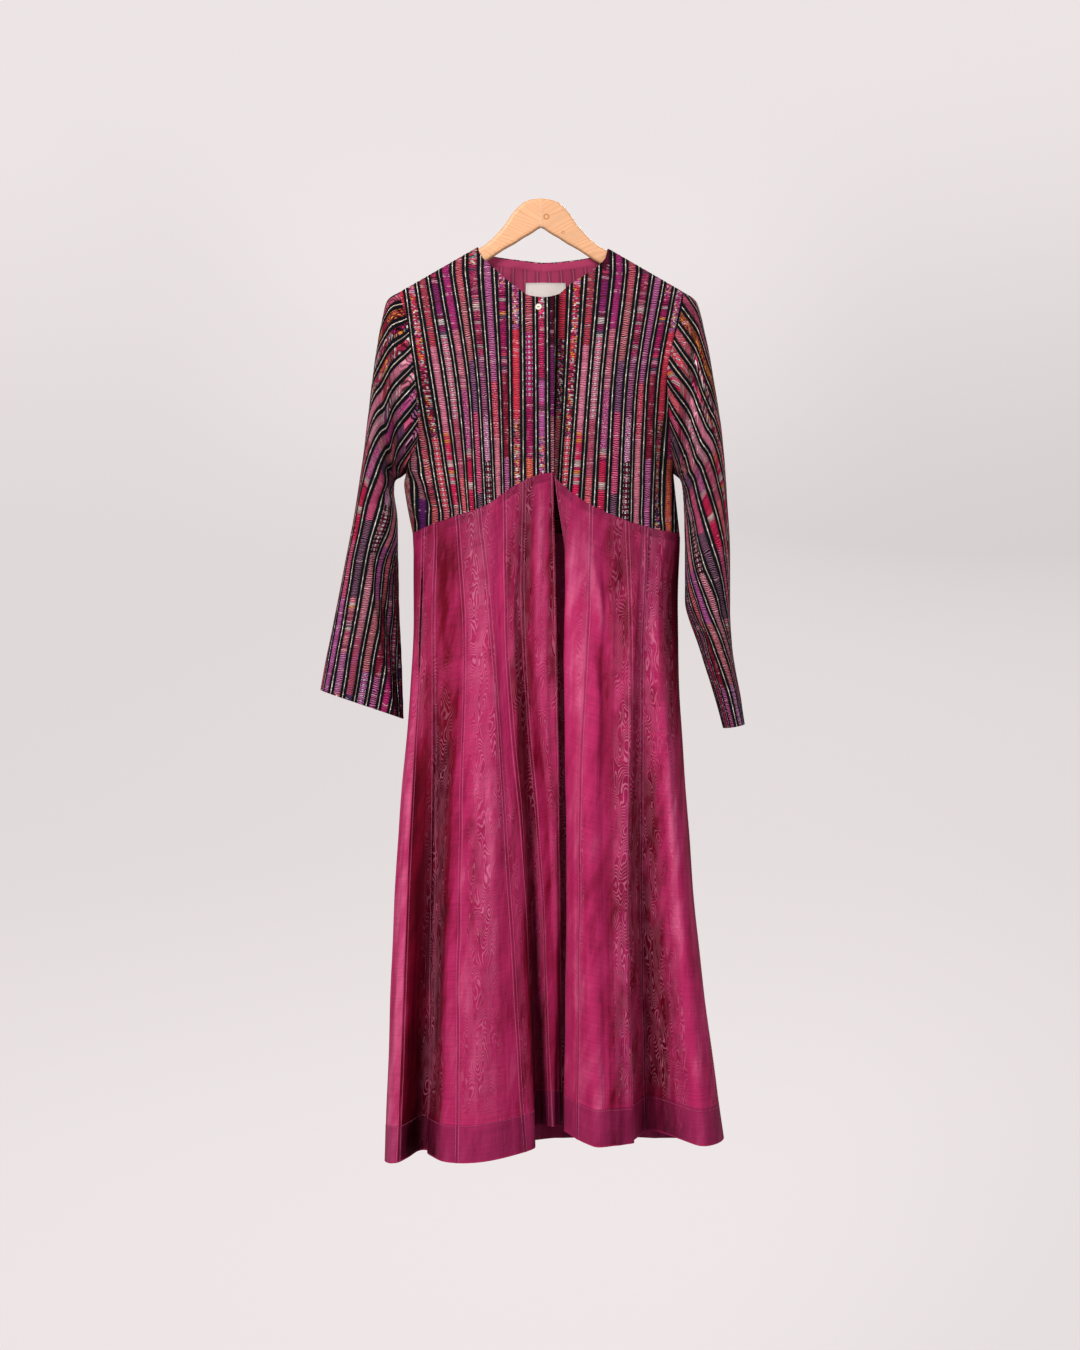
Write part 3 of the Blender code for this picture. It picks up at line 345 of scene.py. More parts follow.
# how the silk looks round the skirt, above and below the knee, in hundredths: its painted shade, from 1 in a
# deep valley to 0 on the crests and below 0 for painted light where light comes through it, and how strongly
# its watered pattern shows
SKIRT_SHADE_AND_WATER = table("fold upper_tone lower_tone upper_water lower_water", [
    (0, 45, 40, 60, 20), (30, 70, 25, 50, 0), (60, 10, 18, 0, 0), (100, -5, 20, 0, 0), (150, 15, 30, 10, 0),
    (180, 45, 40, 80, 20), (240, 60, 72, 100, 30), (290, 45, 70, 40, 20), (315, 25, 30, 0, 0),
    (350, 0, 6, 0, 0), (390, -12, -8, 30, 70), (420, -12, -12, 100, 60), (460, -6, -8, 100, 0),
    (490, 10, 2, 30, 0), (515, 40, 60, 0, 10), (545, 48, 95, 0, 70), (600, 40, 95, 10, 40),
    (650, 22, 90, 20, 0), (695, 20, 60, 10, 0), (704, 15, 35, 0, 0), (713, 5, -40, 0, 0),
    (800, 25, -30, 0, 0), (900, 15, 10, 0, 0), (1000, 55, 60, 40, 60), (1100, -5, -8, 20, 0),
    (1200, 35, 50, 60, 10), (1300, -5, -10, 0, 30), (1400, 60, 70, 20, 70), (1500, -5, -8, 30, 0),
    (1600, 40, 45, 50, 0), (1700, -5, -10, 0, 20), (1800, 60, 65, 60, 40), (1900, 10, 0, 0, 0),
    (2000, 85, 50, 0, 0), (2050, 65, 5, 20, 0), (2100, 40, -22, 40, 0), (2140, 2, 15, 100, 20),
    (2170, -5, 60, 100, 80), (2210, -5, 60, 100, 70), (2250, 0, 50, 80, 30), (2280, 15, 15, 20, 100),
    (2330, 22, 12, 40, 100), (2370, 30, 35, 60, 70), (2410, 25, 45, 30, 0), (2440, 0, 0, 0, 0),
    (2500, -32, -16, 0, 0), (2560, -25, -12, 10, 0), (2600, 25, 15, 0, 0), (2640, 10, 60, 60, 0),
    (2700, 10, 80, 80, 20),
], HUNDREDTH)
LIE_UPPER_DROP = 0.14
LIE_LOWER_DROP = 0.44


# ---------------------------------------------------------------- settings

def length(name, description, default, low, high):
    return bpy.props.FloatProperty(name=name, description=description, default=default, min=low, max=high,
                                   subtype="DISTANCE", unit="LENGTH")


def colour(name, description, default):
    return bpy.props.FloatVectorProperty(name=name, description=description, default=default, size=3, min=0.0,
                                         max=1.0, subtype="COLOR")


class KurtaCloth(bpy.types.PropertyGroup):
    """The striped cloth of the bodice and sleeves."""
    repeat: length("Stripe repeat", "From one pale cord to the next", 0.0165, 0.008, 0.04)
    patch: length("Patch length", "Usual length of one patch of colour along a stripe", 0.095, 0.02, 0.4)
    rib: length("Rib pitch", "From one crosswise thread to the next", 0.0026, 0.0005, 0.004)
    cord: colour("Dark cord", "Colour of the dark cords", (0.0035, 0.0040, 0.0060))
    pale_cord: colour("Pale cord", "Colour of the pale cords", (0.36, 0.30, 0.24))


class KurtaSkirt(bpy.types.PropertyGroup):
    """The silk of the skirt."""
    silk: colour("Silk", "Colour of the skirt", (0.348, 0.0175, 0.086))
    # the deep colour is painted shade in the folds, and the crest colour is painted light on the crests
    deep: colour("Deep folds", "Colour where the folds lie deep", (0.125, 0.0018, 0.0125))
    crest_light: colour("Crests", "Colour where light comes through the cloth", (0.545, 0.090, 0.200))
    inside: colour("Inside", "Colour of the skirt's inner side", (0.200, 0.0150, 0.055))
    hem: colour("Hem", "Colour of the doubled cloth of the hem", (0.225, 0.0160, 0.068))
    thread: colour("Thread", "Colour of the topstitching", (0.50, 0.085, 0.19))
    stitch_pitch: length("Stitch pitch", "From one stitch to the next", 0.0036, 0.001, 0.02)


class KurtaTrim(bpy.types.PropertyGroup):
    """Lining, label, button and hanger."""
    lining: colour("Lining", "Colour of the back neck lining", (0.290, 0.030, 0.082))
    label: colour("Label", "Colour of the blank label", (0.66, 0.585, 0.560))
    button: colour("Button", "Colour of the shell button", (0.80, 0.72, 0.60))
    wood: colour("Wood", "Colour of the hanger", (0.580, 0.306, 0.162))


# ---------------------------------------------------------------- shape

def mix(low, high, share):
    return low + (high - low) * share


def ease(share):
    """Smooth step from 0 to 1."""
    share = np.clip(share, 0.0, 1.0)
    return share * share * (3.0 - 2.0 * share)


def unit(vectors):
    return vectors / np.maximum(np.linalg.norm(vectors, axis=-1, keepdims=True), 1e-12)


def curve_tangents(slopes):
    """Slope of the smooth curve at each of its places."""
    before, after = slopes[:-1], slopes[1:]
    total = before + after
    inner = np.where(before * after > 0.0, 2.0 * before * after / np.where(total == 0.0, 1.0, total), 0.0)
    return np.concatenate([slopes[:1], inner, slopes[-1:]])


def hermite(t, span, start, end, leaving, arriving):
    rest = 1.0 - t
    return (
        start * (1.0 + 2.0 * t) * rest * rest
        + end * t * t * (3.0 - 2.0 * t)
        + leaving * span * t * rest * rest
        - arriving * span * t * t * rest
    )


def table_value(places, values, at):
    """Values of a table at places along it, on a smooth curve with no overshoot."""
    places = np.asarray(places, float)
    values = np.asarray(values, float)
    extra = (1,) * (values.ndim - 1)
    at = np.clip(np.asarray(at, float), places[0], places[-1])
    spans = np.diff(places)
    tangents = curve_tangents(np.diff(values, axis=0) / spans.reshape((-1,) + extra))
    index = np.clip(np.searchsorted(places, at, side="right") - 1, 0, len(places) - 2)
    span = spans[index].reshape(at.shape + extra)
    t = ((at - places[index]).reshape(at.shape + extra)) / span
    return hermite(t, span, values[index], values[index + 1], tangents[index], tangents[index + 1])


def column_value(places, values, at):
    """The same where every column of points has its own places: places and values are lists of arrays."""
    places = np.stack(places)
    values = np.stack(values)
    spans = np.diff(places, axis=0)
    tangents = curve_tangents(np.diff(values, axis=0) / spans)
    result = values[0] + 0.0 * at
    for index, span in enumerate(spans):
        t = np.clip((at - places[index]) / span, 0.0, 1.0)
        part = hermite(t, span, values[index], values[index + 1], tangents[index], tangents[index + 1])
        result = np.where(at > places[index], part, result)
    return result


def level_value(column, z):
    """A column of the bodice's table at a height."""
    return table_value([-level.z for level in LEVELS], [getattr(level, column) for level in LEVELS], -z)


def edge_z(edges, x):
    return table_value([edge.x for edge in edges], [edge.z for edge in edges], x)


def shoulder_z(x):
    """Height of the shoulder line, carried on across the neck."""
    left_slope = (FRONT_NECKLINE[0].z - SHOULDER_TIP_Z) / (NECK_POINT_LEFT - SHOULDER_TIP_LEFT)
    right_slope = (FRONT_NECKLINE[-1].z - SHOULDER_TIP_Z) / (NECK_POINT_RIGHT - SHOULDER_TIP_RIGHT)
    left = SHOULDER_TIP_Z + left_slope * (x - SHOULDER_TIP_LEFT)
    right = SHOULDER_TIP_Z + right_slope * (x - SHOULDER_TIP_RIGHT)
    return np.where(x < 0.0, left, right)


def top_z(x, side):
    """Upper edge of the bodice: the shoulder seam, and the neckline between the neck points."""
    neckline = edge_z(FRONT_NECKLINE if side == "front" else BACK_NECKLINE, x)
    return np.where((x > NECK_POINT_LEFT) & (x < NECK_POINT_RIGHT), neckline, shoulder_z(x))


def body_reach(x, z, side):
    """How far the bodice stands out to the front or back of the hanger's plane."""
    left = level_value("left", z)
    right = level_value("right", z)
    across = np.clip(2.0 * (x - left) / (right - left) - 1.0, -1.0, 1.0)
    side_waist = np.where(across < 0.0, BACK_WAIST[0].z, BACK_WAIST[-1].z)
    underarm_z = mix(SHOULDER_TIP_Z, side_waist, UNDERARM_SHARE)
    share = np.clip((z - SHOULDER_TIP_Z) / (underarm_z - SHOULDER_TIP_Z), 0.0, 1.0)
    openness = 2.0 * np.sqrt(share * (1.0 - share))
    middle = level_value(f"{side}_middle", z)
    full = (1.0 - np.abs(across) ** BODY_SQUARE) ** (BODY_FULL + BODY_FULL_OPEN * openness)
    reach = mix(ARMHOLE_REACH * openness, middle, full)
    drop = np.maximum(0.0, shoulder_z(x) - z)
    fade = ease(drop / SHOULDER_FADE)
    ridge = 1.0 - np.minimum(1.0, drop / SHOULDER_RIDGE_DROP)
    return reach * fade + SHOULDER_RIDGE * np.sqrt(1.0 - ridge * ridge) * (1.0 - fade)


def overlap_shift(x):
    """How far the right front lies behind the left one."""
    return OVERLAP_STEP * (1.0 - ease((x - OVERLAP_EDGE) / OVERLAP_BLEND))


def body_surface(x, z, side, part):
    """Points and outward normals of the bodice's outer face."""
    step = 0.1 * MM
    sign = -1.0 if side == "front" else 1.0
    slope_x = (body_reach(x + step, z, side) - body_reach(x - step, z, side)) / (2.0 * step)
    slope_z = (body_reach(x, z + step, side) - body_reach(x, z - step, side)) / (2.0 * step)
    y = sign * body_reach(x, z, side)
    if part == "right":
        y = y + overlap_shift(x)
    normals = unit(np.stack([-slope_x, sign + 0.0 * x, -slope_z], axis=-1))
    return np.stack([x, y, z], axis=-1), normals


def crease_height(creases, x, z):
    """Height that the creases add at places seen from the front."""
    total = 0.0 * x
    for crease in creases:
        run_x, run_z = crease.end_x - crease.start_x, crease.end_z - crease.start_z
        off_x, off_z = x - crease.start_x, z - crease.start_z
        span = math.hypot(run_x, run_z)
        along = (off_x * run_x + off_z * run_z) / (span * span)
        across = (off_x * run_z - off_z * run_x) / span - crease.bow * 4.0 * along * (1.0 - along)
        inside = ease(along / 0.3) * ease((1.0 - along) / 0.3)
        total = total + crease.height * inside * np.exp(-(across / crease.width) ** 2)
    return total


def ripple(x, z, waves):
    """A soft unevenness from waves."""
    total = 0.0 * x
    for height, across, down, phase in waves:
        turns = x / (across / MILLI) + z / (down / MILLI)
        total = total + height * MM * np.sin(math.tau * turns + phase)
    return total


# ---------------------------------------------------------------- meshes

def shell_faces(ids, flip):
    """Faces of a closed shell over a grid. ids gives each grid place its vertex; places may share one. Each
    face is its layer, 0 outside, 1 inside and 2 on the rim, and its corners as (side, row, column)."""
    rows, columns = ids.shape
    last_row, last_column = rows - 1, columns - 1
    faces = []
    for row in range(last_row):
        for column in range(last_column):
            corners = ((row, column), (row, column + 1), (row + 1, column + 1), (row + 1, column))
            if ids[row, column] == ids[row, column + 1] and ids[row + 1, column] == ids[row + 1, column + 1]:
                continue
            faces.append((0, [(0, *corner) for corner in corners]))
            faces.append((1, [(1, *corner) for corner in reversed(corners)]))
    for column in range(last_column):
        after = column + 1
        if ids[0, column] != ids[0, after]:
            faces.append((2, [(0, 0, after), (0, 0, column), (1, 0, column), (1, 0, after)]))
        if ids[last_row, column] != ids[last_row, after]:
            faces.append((2, [(0, last_row, column), (0, last_row, after), (1, last_row, after),
                              (1, last_row, column)]))
    if ids[0, 0] != ids[0, -1]:
        for row in range(last_row):
            below = row + 1
            faces.append((2, [(0, row, 0), (0, below, 0), (1, below, 0), (1, row, 0)]))
            faces.append((2, [(0, below, last_column), (0, row, last_column), (1, row, last_column),
                              (1, below, last_column)]))
    return [(layer, face[::-1] if flip else face) for layer, face in faces]


def add_shell(name, outer, inner, maps, materials, ids=None):
    """A closed shell between an outer and an inner grid of points. maps gives the UV maps as grids of pairs,
    and materials are for the outside and, where it differs, the inside."""
    rows, columns = outer.shape[:2]
    if ids is None:
        ids = np.arange(rows * columns).reshape(rows, columns)
    half = rows // 2
    across = outer[half, 1:] - outer[half, :-1]
    down = outer[half + 1, :-1] - outer[half, :-1]
    away = outer[half, :-1] - inner[half, :-1]
    numbers = {}
    places = []
    mesh_faces = []
    kept_layers = []
    corners = []
    for layer, face in shell_faces(ids, flip=float((np.cross(down, across) * away).sum()) < 0.0):
        line = {}
        for side, row, column in face:
            key = (side, int(ids[row, column]))
            if key not in numbers:
                numbers[key] = len(places)
                grid = outer if side == 0 else inner
                places.append(grid.reshape(-1, 3)[ids[row, column]])
            line.setdefault(numbers[key], (row, column))
        if len(line) > 2:
            mesh_faces.append(list(line))
            corners += line.values()
            kept_layers.append(layer)
    mesh = bpy.data.meshes.new(name)
    mesh.from_pydata(np.array(places).tolist(), [], mesh_faces)
    index = tuple(np.array(corners).T)
    for map_name, grid in maps.items():
        layer = mesh.uv_layers.new(name=map_name)
        layer.data.foreach_set("uv", grid[index].astype(np.float32).ravel())
    for material in materials:
        mesh.materials.append(material)
    if len(materials) > 1:
        slots = (np.array(kept_layers) == 1).astype(np.int32)
        mesh.polygons.foreach_set("material_index", slots)
    mesh.shade_smooth()
    mesh.set_sharp_from_angle(angle=math.radians(60.0))
    mesh.update()
    return link_piece(name, mesh)


def link_piece(name, data):
    piece = bpy.data.objects.new(name, data)
    bpy.context.scene.collection.objects.link(piece)
    return piece


def grid_area(points):
    """Area of a grid of points."""
    first = points[1:, :-1] - points[:-1, :-1]
    second = points[:-1, 1:] - points[:-1, :-1]
    third = points[1:, 1:] - points[:-1, 1:]
    fourth = points[1:, 1:] - points[1:, :-1]
    halves = np.linalg.norm(np.cross(first, second), axis=-1)
    halves = halves + np.linalg.norm(np.cross(third, fourth), axis=-1)
    return float(halves.sum() / 2.0)


def run_length(points):
    """Distance along each line of points, from its start; the points run along axis 0."""
    steps = np.linalg.norm(np.diff(points, axis=0), axis=-1)
    return np.concatenate([np.zeros((1,) + steps.shape[1:]), np.cumsum(steps, axis=0)])


def run_across(points):
    """The same along each row of a grid."""
    return run_length(np.swapaxes(points, 0, 1)).T


def pairs(first, second):
    """A grid of pairs, for a UV map."""
    return np.stack([first, second + 0.0 * first], axis=-1)


# the least part of its rectangle that a piece of cloth is cut to
LEAST_CUT = 0.31


def declare_cloth(piece, node, points):
    """Attaches the piece to the body it rides on and hides the CAD node it stands for. The size it was cut
    to, the largest width and length of the flat piece of cloth that the grid of points stands for, is worked
    out but not kept."""
    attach(piece, BODY)
    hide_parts(node)
    width, length = float(run_across(points)[:, -1].max()), float(run_length(points)[-1].max())
    area = max(min(grid_area(points), width * length), LEAST_CUT * width * length)


# ---------------------------------------------------------------- bodice

def stripe_columns(first, last):
    """Places across the striped cloth, counted in repeats, with one on every ridge and groove."""
    places = []
    for number in range(math.floor(first), math.ceil(last)):
        places += [number + share for share, _ in STRIPE_PROFILE]
    return np.array(places + [math.ceil(last)], float)


def stripe_height(places):
    """Height of the striped cloth's face at places counted in repeats."""
    shares = [share for share, _ in STRIPE_PROFILE] + [1.0]
    heights = [height * MM for _, height in (*STRIPE_PROFILE, STRIPE_PROFILE[0])]
    return np.interp(places - np.floor(places), shares, heights)


Panel = namedtuple("Panel", "name side part cords")
BODICE_PANELS = (
    Panel("bodice_front_left", "front", "left", LEFT_CORDS),
    Panel("bodice_front_right", "front", "right", RIGHT_CORDS),
    Panel("bodice_back", "back", "back", BACK_CORDS),
)


def panel_limits(panel, z):
    """Lowest and highest x of a bodice panel at a height."""
    left = level_value("left", z)
    right = level_value("right", z)
    if panel.part == "left":
        return left, OVERLAP_EDGE + 0.0 * z
    if panel.part == "right":
        return UNDERLAP_EDGE + 0.0 * z, right
    return left, right


def cord_x(panel, places, z):
    """x of a place across a panel's striped cloth, counted in cords, at a height; and the panel's limits."""
    rows = table_value(range(len(panel.cords)), [tuple(cord) for cord in panel.cords], places)
    depths = [np.full(rows.shape[:-1], -height) for height in CORD_HEIGHTS]
    values = [rows[..., index] for index in range(len(CORD_HEIGHTS))]
    return column_value(depths, values, -z), *panel_limits(panel, z)


def line_ends(panel, places):
    """Height of the upper and lower end of each line of the striped cloth on a panel."""
    heights = LINE_TOPS[:, None] + 0.0 * places
    x = np.clip(*cord_x(panel, places + 0.0 * heights, heights))
    first = np.argmax(heights <= top_z(x, panel.side), axis=0)
    start = heights[first, np.arange(len(places))]
    end = np.full(len(places), LINE_BOTTOM)
    for _ in range(LINE_STEPS):
        end = 0.5 * end + 0.5 * edge_z(WAISTS[panel.part], np.clip(*cord_x(panel, places, end)))
    exact = top_z(np.clip(*cord_x(panel, places, start)), panel.side)
    return np.where(np.abs(exact - start) < LINE_SNAP, exact, start), end


def row_shares(count):
    """Rows down the bodice: close where the cloth turns over the hanger, then even."""
    close = np.array([0.0, 0.0015, 0.004, 0.008, 0.013, 0.019])
    return np.concatenate([close, np.linspace(0.026, 1.0, count - len(close))])


def snap_ids(at_low, at_high):
    """Vertex numbers of a grid where all places past an edge share the last one on it."""
    rows, columns = at_low.shape
    ids = np.arange(rows * columns).reshape(rows, columns)
    for row in range(rows):
        low = np.flatnonzero(at_low[row])
        high = np.flatnonzero(at_high[row])
        if len(low):
            ids[row, :low[-1] + 1] = ids[row, low[-1]]
        if len(high):
            ids[row, high[0]:] = ids[row, high[0]]
    return ids


# how far from each edge of the bodice its creases fade in
SIDE_FADE = 0.012
SHOULDER_SEAM_FADE = 0.020
WAIST_FADE = 0.016
FRONT_EDGE_FADE = 0.03
FRONT_EDGE_CREASED = 0.3


def bodice_wrinkles(panel, points):
    """Creases and unevenness of a bodice panel, fading out at its seams."""
    x, z = points[..., 0], points[..., 2]
    low, high = level_value("left", z), level_value("right", z)
    height = crease_height(BODICE_CREASES[panel.side], x, z) + ripple(x, z, CLOTH_WAVES)
    fade = ease((x - low) / SIDE_FADE) * ease((high - x) / SIDE_FADE)
    fade = fade * ease((top_z(x, panel.side) - z) / SHOULDER_SEAM_FADE)
    fade = fade * ease((z - edge_z(WAISTS[panel.part], x)) / WAIST_FADE)
    if panel.part == "left":
        fade = fade * mix(FRONT_EDGE_CREASED, 1.0, ease((OVERLAP_EDGE - x) / FRONT_EDGE_FADE))
    if panel.part == "right":
        fade = fade * ease((x - OVERLAP_EDGE) / OVERLAP_BLEND)
    return height * fade


# painted shade beside the edges of the bodice: how dark it is, and how far it reaches
EdgeShade = namedtuple("EdgeShade", "dark reach")
LEFT_SIDE_SHADE = EdgeShade(0.50, 0.020)
RIGHT_SIDE_SHADE = EdgeShade(0.55, 0.012)
FRONT_EDGE_SHADE = EdgeShade(0.50, 0.0035)
OVERLAP_SHADE = EdgeShade(0.72, 0.006)
OVERLAP_SHADE_FADE = 0.012
SIDE_SHADE_Z = -0.20
SIDE_SHADE_FADE = 0.06


def edge_shade(shade, away, strength=1.0):
    """How light the painted shade leaves the cloth at distances from an edge."""
    return 1.0 - shade.dark * strength * np.exp(-away / shade.reach)


def bodice_shade(panel, x, z):
    """Painted shade: darker cloth at the armholes and sides and beside the front edge."""
    low = ease((SIDE_SHADE_Z - z) / SIDE_SHADE_FADE)
    shade = edge_shade(LEFT_SIDE_SHADE, x - level_value("left", z), low)
    shade = shade * edge_shade(RIGHT_SIDE_SHADE, level_value("right", z) - x, low)
    if panel.part == "left":
        shade = shade * edge_shade(FRONT_EDGE_SHADE, np.maximum(OVERLAP_EDGE - x, 0.0))
    if panel.part == "right":
        past = ease((x - OVERLAP_EDGE - OVERLAP_SHADE.reach) / OVERLAP_SHADE_FADE)
        shade = shade * (1.0 - OVERLAP_SHADE.dark * (1.0 - past))
    return shade


def level_out(normals, axis, where):
    """The normals with no part along one axis where asked, so that pieces meet edge to edge at a seam."""
    flat = normals.copy()
    flat[..., axis] = np.where(where, 0.0, flat[..., axis])
    return unit(flat)


def make_bodice_panel(panel, repeat, material):
    places = stripe_columns(0, len(panel.cords) - 1)
    start, end = line_ends(panel, places)
    z = mix(start, end, row_shares(BODICE_ROWS)[:, None])
    across = places + 0.0 * z
    raw, low, high = cord_x(panel, across, z)
    x = np.clip(raw, low, high)
    at_low, at_high = raw <= low, raw >= high
    points, normals = body_surface(x, z, panel.side, panel.part)
    outward = -1.0 if panel.side == "front" else 1.0
    row_number = np.arange(BODICE_ROWS)[:, None] + 0 * at_low
    under_arm = z < mix(SHOULDER_TIP_Z, BACK_WAIST[0].z, UNDERARM_SHARE)
    seamed = (row_number == 0) & ((x <= NECK_POINT_LEFT) | (x >= NECK_POINT_RIGHT))
    if panel.part != "right":
        seamed |= at_low & under_arm
    if panel.part != "left":
        seamed |= at_high & under_arm
    at_waist = row_number == BODICE_ROWS - 1
    height = bodice_wrinkles(panel, points)
    ridge = stripe_height(across)
    ridge = ridge * ease((x - level_value("left", z)) / 0.002) * ease((level_value("right", z) - x) / 0.002)
    normals = level_out(level_out(normals, 1, seamed), 2, at_waist)
    points[..., 1] += np.where(seamed, outward * SEAM_GAP / 2.0, 0.0)
    points[..., 2] += np.where(at_waist, SEAM_GAP / 2.0, 0.0)
    outer = points + normals * (height + ridge)[..., None]
    inner = points + normals * (height - STRIPED_WALL)[..., None]
    down = run_length(points)
    level = [np.interp(THREAD_LEVEL, -points[:, column, 2], down[:, column]) for column in range(len(places))]
    maps = {
        "cloth": pairs(across * repeat, down - np.array(level)),
        "lie": pairs(bodice_shade(panel, x, z), 0.0),
    }
    piece = add_shell(panel.name + "_cloth", outer, inner, maps, [material], snap_ids(at_low, at_high))
    declare_cloth(piece, panel.name, points)


# ---------------------------------------------------------------- sleeves

ANGLE_STEPS = 360
SLEEVE_OUTSIDE = ANGLE_STEPS // 2
SLEEVE_ROWS = 116
# the long fold down the front of the left sleeve: x of its edge at depths below the origin
FLANK_DEPTHS = (0.455, 0.520, 0.600, 0.690)
FLANK_LINE = (-0.224, -0.222, -0.212, -0.191)
FLANK_CLOSER = 0.7


def sleeve_ring(ring, angles):
    """Points of one ring of a sleeve; the angle goes from the outside round the front to the inside, and is
    negative on the back."""
    sine = np.sin(angles)
    swing = 0.5 + 0.5 * np.cos(angles - ring.turn * sine ** 2 * (angles > 0.0))
    x = mix(ring.inner_x, ring.outer_x, swing)
    z = mix(ring.inner_z, ring.outer_z, swing)
    y = -sine * np.where(sine > 0.0, ring.front, ring.back)
    return np.stack([x, y, z], axis=-1)


def armhole_ring(side, angles):
    """Points of the armhole's edge, moved out by the seam gap."""
    waist = BACK_WAIST[0].z if side == "left" else BACK_WAIST[-1].z
    steps = len(ARMHOLE_SHARES) - 1
    shares = np.interp(np.abs(angles) / math.pi * steps, range(steps + 1), ARMHOLE_SHARES)
    z = mix(SHOULDER_TIP_Z, waist, shares)
    x = level_value(side, z)
    outward = -1.0 if side == "left" else 1.0
    y = np.where(angles > 0.0, -body_reach(x, z, "front"), body_reach(x, z, "back"))
    return np.stack([x + outward * SEAM_GAP, y, z], axis=-1)


def sleeve_surface(side, angles):
    """Dense grid of the sleeve: rows from the armhole to the cuff, columns from the inside round the back,
    the outside and the front to the inside again. Also how its stripes shift and gather down its rows."""
    rings = SLEEVES[side]
    stack = np.stack([armhole_ring(side, angles)] + [sleeve_ring(ring, angles) for ring in rings])
    twist = [0.0] + [ring.twist for ring in rings]
    gathered = [ARMHOLE_GATHER[side]] + [ring.gather for ring in rings]
    spine = run_length((stack[:, SLEEVE_OUTSIDE] + stack[:, 0]) / 2.0)
    along = np.interp(np.linspace(0.0, spine[-1], SLEEVE_ROWS), spine, range(len(stack)))
    return [table_value(range(len(stack)), values, along) for values in (stack, twist, gathered)]


def sleeve_normals(points):
    around = np.gradient(points, axis=1)
    wrap = (points[:, 1] - points[:, -2]) / 2.0
    around[:, 0] = wrap
    around[:, -1] = wrap
    normals = unit(np.cross(around, np.gradient(points, axis=0)))
    middle = points.mean(axis=1, keepdims=True)
    return normals * np.sign(((points - middle) * normals).sum(axis=-1).mean())


def sleeve_wrinkles(angles, points):
    x, z = points[..., 0], points[..., 2]
    facing = np.sin(angles)[None, :]
    height = crease_height(SLEEVE_CREASES["front"], x, z) * ease(facing / 0.5)
    height = height + crease_height(SLEEVE_CREASES["back"], x, z) * ease(-facing / 0.5)
    height = height + ripple(x + points[..., 1], z, CLOTH_WAVES) * np.abs(facing)
    rows = np.arange(SLEEVE_ROWS)[:, None]
    return height * ease(rows / 6.0) * mix(0.35, 1.0, ease((SLEEVE_ROWS - 1 - rows) / 8.0))


def flank_stripes(points, arc):
    """How much further the stripes have run on where the left sleeve turns back behind its long fold."""
    line = np.interp(-points[..., 2], FLANK_DEPTHS, FLANK_LINE)
    behind = (points[..., 0] > line) & (points[..., 1] < 0.0) & (arc > 0.0)
    edge = np.where(behind, arc, arc[:, -1:]).min(axis=1, keepdims=True)
    depth = ease((-0.445 - points[:, ANGLE_STEPS * 3 // 4, 2]) / 0.06)[:, None]
    return FLANK_CLOSER * depth * np.maximum(arc - edge, 0.0)


def flank_shade(points):
    """Painted shade where the left sleeve turns back behind its long fold, and a painted shadow line along
    it.
    """
    x, y, z = np.moveaxis(points, -1, 0)
    past = x - np.interp(-z, FLANK_DEPTHS, FLANK_LINE)
    below = ease((-0.455 - z) / 0.03) * (y < 0.0)
    behind = ease(past / 0.003) * below
    # a painted shadow line just past the fold
    crease = np.exp(-((past - 0.0015) / 0.0022) ** 2) * below
    return (1.0 - 0.45 * behind) * (1.0 - 0.55 * crease)


def make_sleeve(side, repeat, material):
    angles = np.linspace(-math.pi, math.pi, ANGLE_STEPS + 1)
    points, shift, gather = sleeve_surface(side, angles)
    normals = sleeve_normals(points)
    base = points + normals * sleeve_wrinkles(angles, points)[..., None]
    arc = run_across(points)
    arc = arc - arc[:, SLEEVE_OUTSIDE:SLEEVE_OUTSIDE + 1]
    place = arc * gather[:, None] + shift[:, None]
    if side == "left":
        place = place + flank_stripes(points, arc)
    place = place / repeat
    columns = stripe_columns(place.min(), place.max())
    dense = np.concatenate([arc[..., None], base, normals], axis=-1)
    even = np.zeros((SLEEVE_ROWS, len(columns), dense.shape[-1]))
    for row in range(SLEEVE_ROWS):
        for axis in range(dense.shape[-1]):
            even[row, :, axis] = np.interp(columns, place[row], dense[row, :, axis])
    here, grid, facing = even[..., 0], even[..., 1:4], unit(even[..., 4:])
    low = columns[None, :] <= place[:, :1]
    high = columns[None, :] >= place[:, -1:]
    ids = snap_ids(low, high)
    for row in range(SLEEVE_ROWS):
        ids[row][low[row] | high[row]] = ids[row, 0]
    across = np.clip(columns[None, :], place[:, :1], place[:, -1:])
    edge = np.minimum(across - place[:, :1], place[:, -1:] - across) * repeat
    ridge = stripe_height(across) * ease(edge / 0.002) * ease(np.arange(SLEEVE_ROWS)[:, None] / 1.5)
    spine = run_length((points[:, :1] + points[:, SLEEVE_OUTSIDE:SLEEVE_OUTSIDE + 1]) / 2.0)
    slant = np.gradient(shift, spine[:, 0])[:, None]
    threads = spine * gather[:, None] - slant * here
    along = np.linspace(0.0, 1.0, SLEEVE_ROWS)[:, None]
    # painted shade at the top of the sleeve by the armhole, strongest towards its inner side
    shade = 1.0 - 0.30 * ease((0.03 - along) / 0.03) * ease(np.abs(here / arc[:, -1:]))
    if side == "left":
        shade = shade * flank_shade(grid)
    maps = {"cloth": pairs(across * repeat, threads), "lie": pairs(shade, 0.0)}
    name = f"sleeve_{side}"
    piece = add_shell(name + "_cloth", grid + facing * ridge[..., None], grid - facing * STRIPED_WALL, maps,
                      [material], ids)
    declare_cloth(piece, name, points)


# ---------------------------------------------------------------- skirt

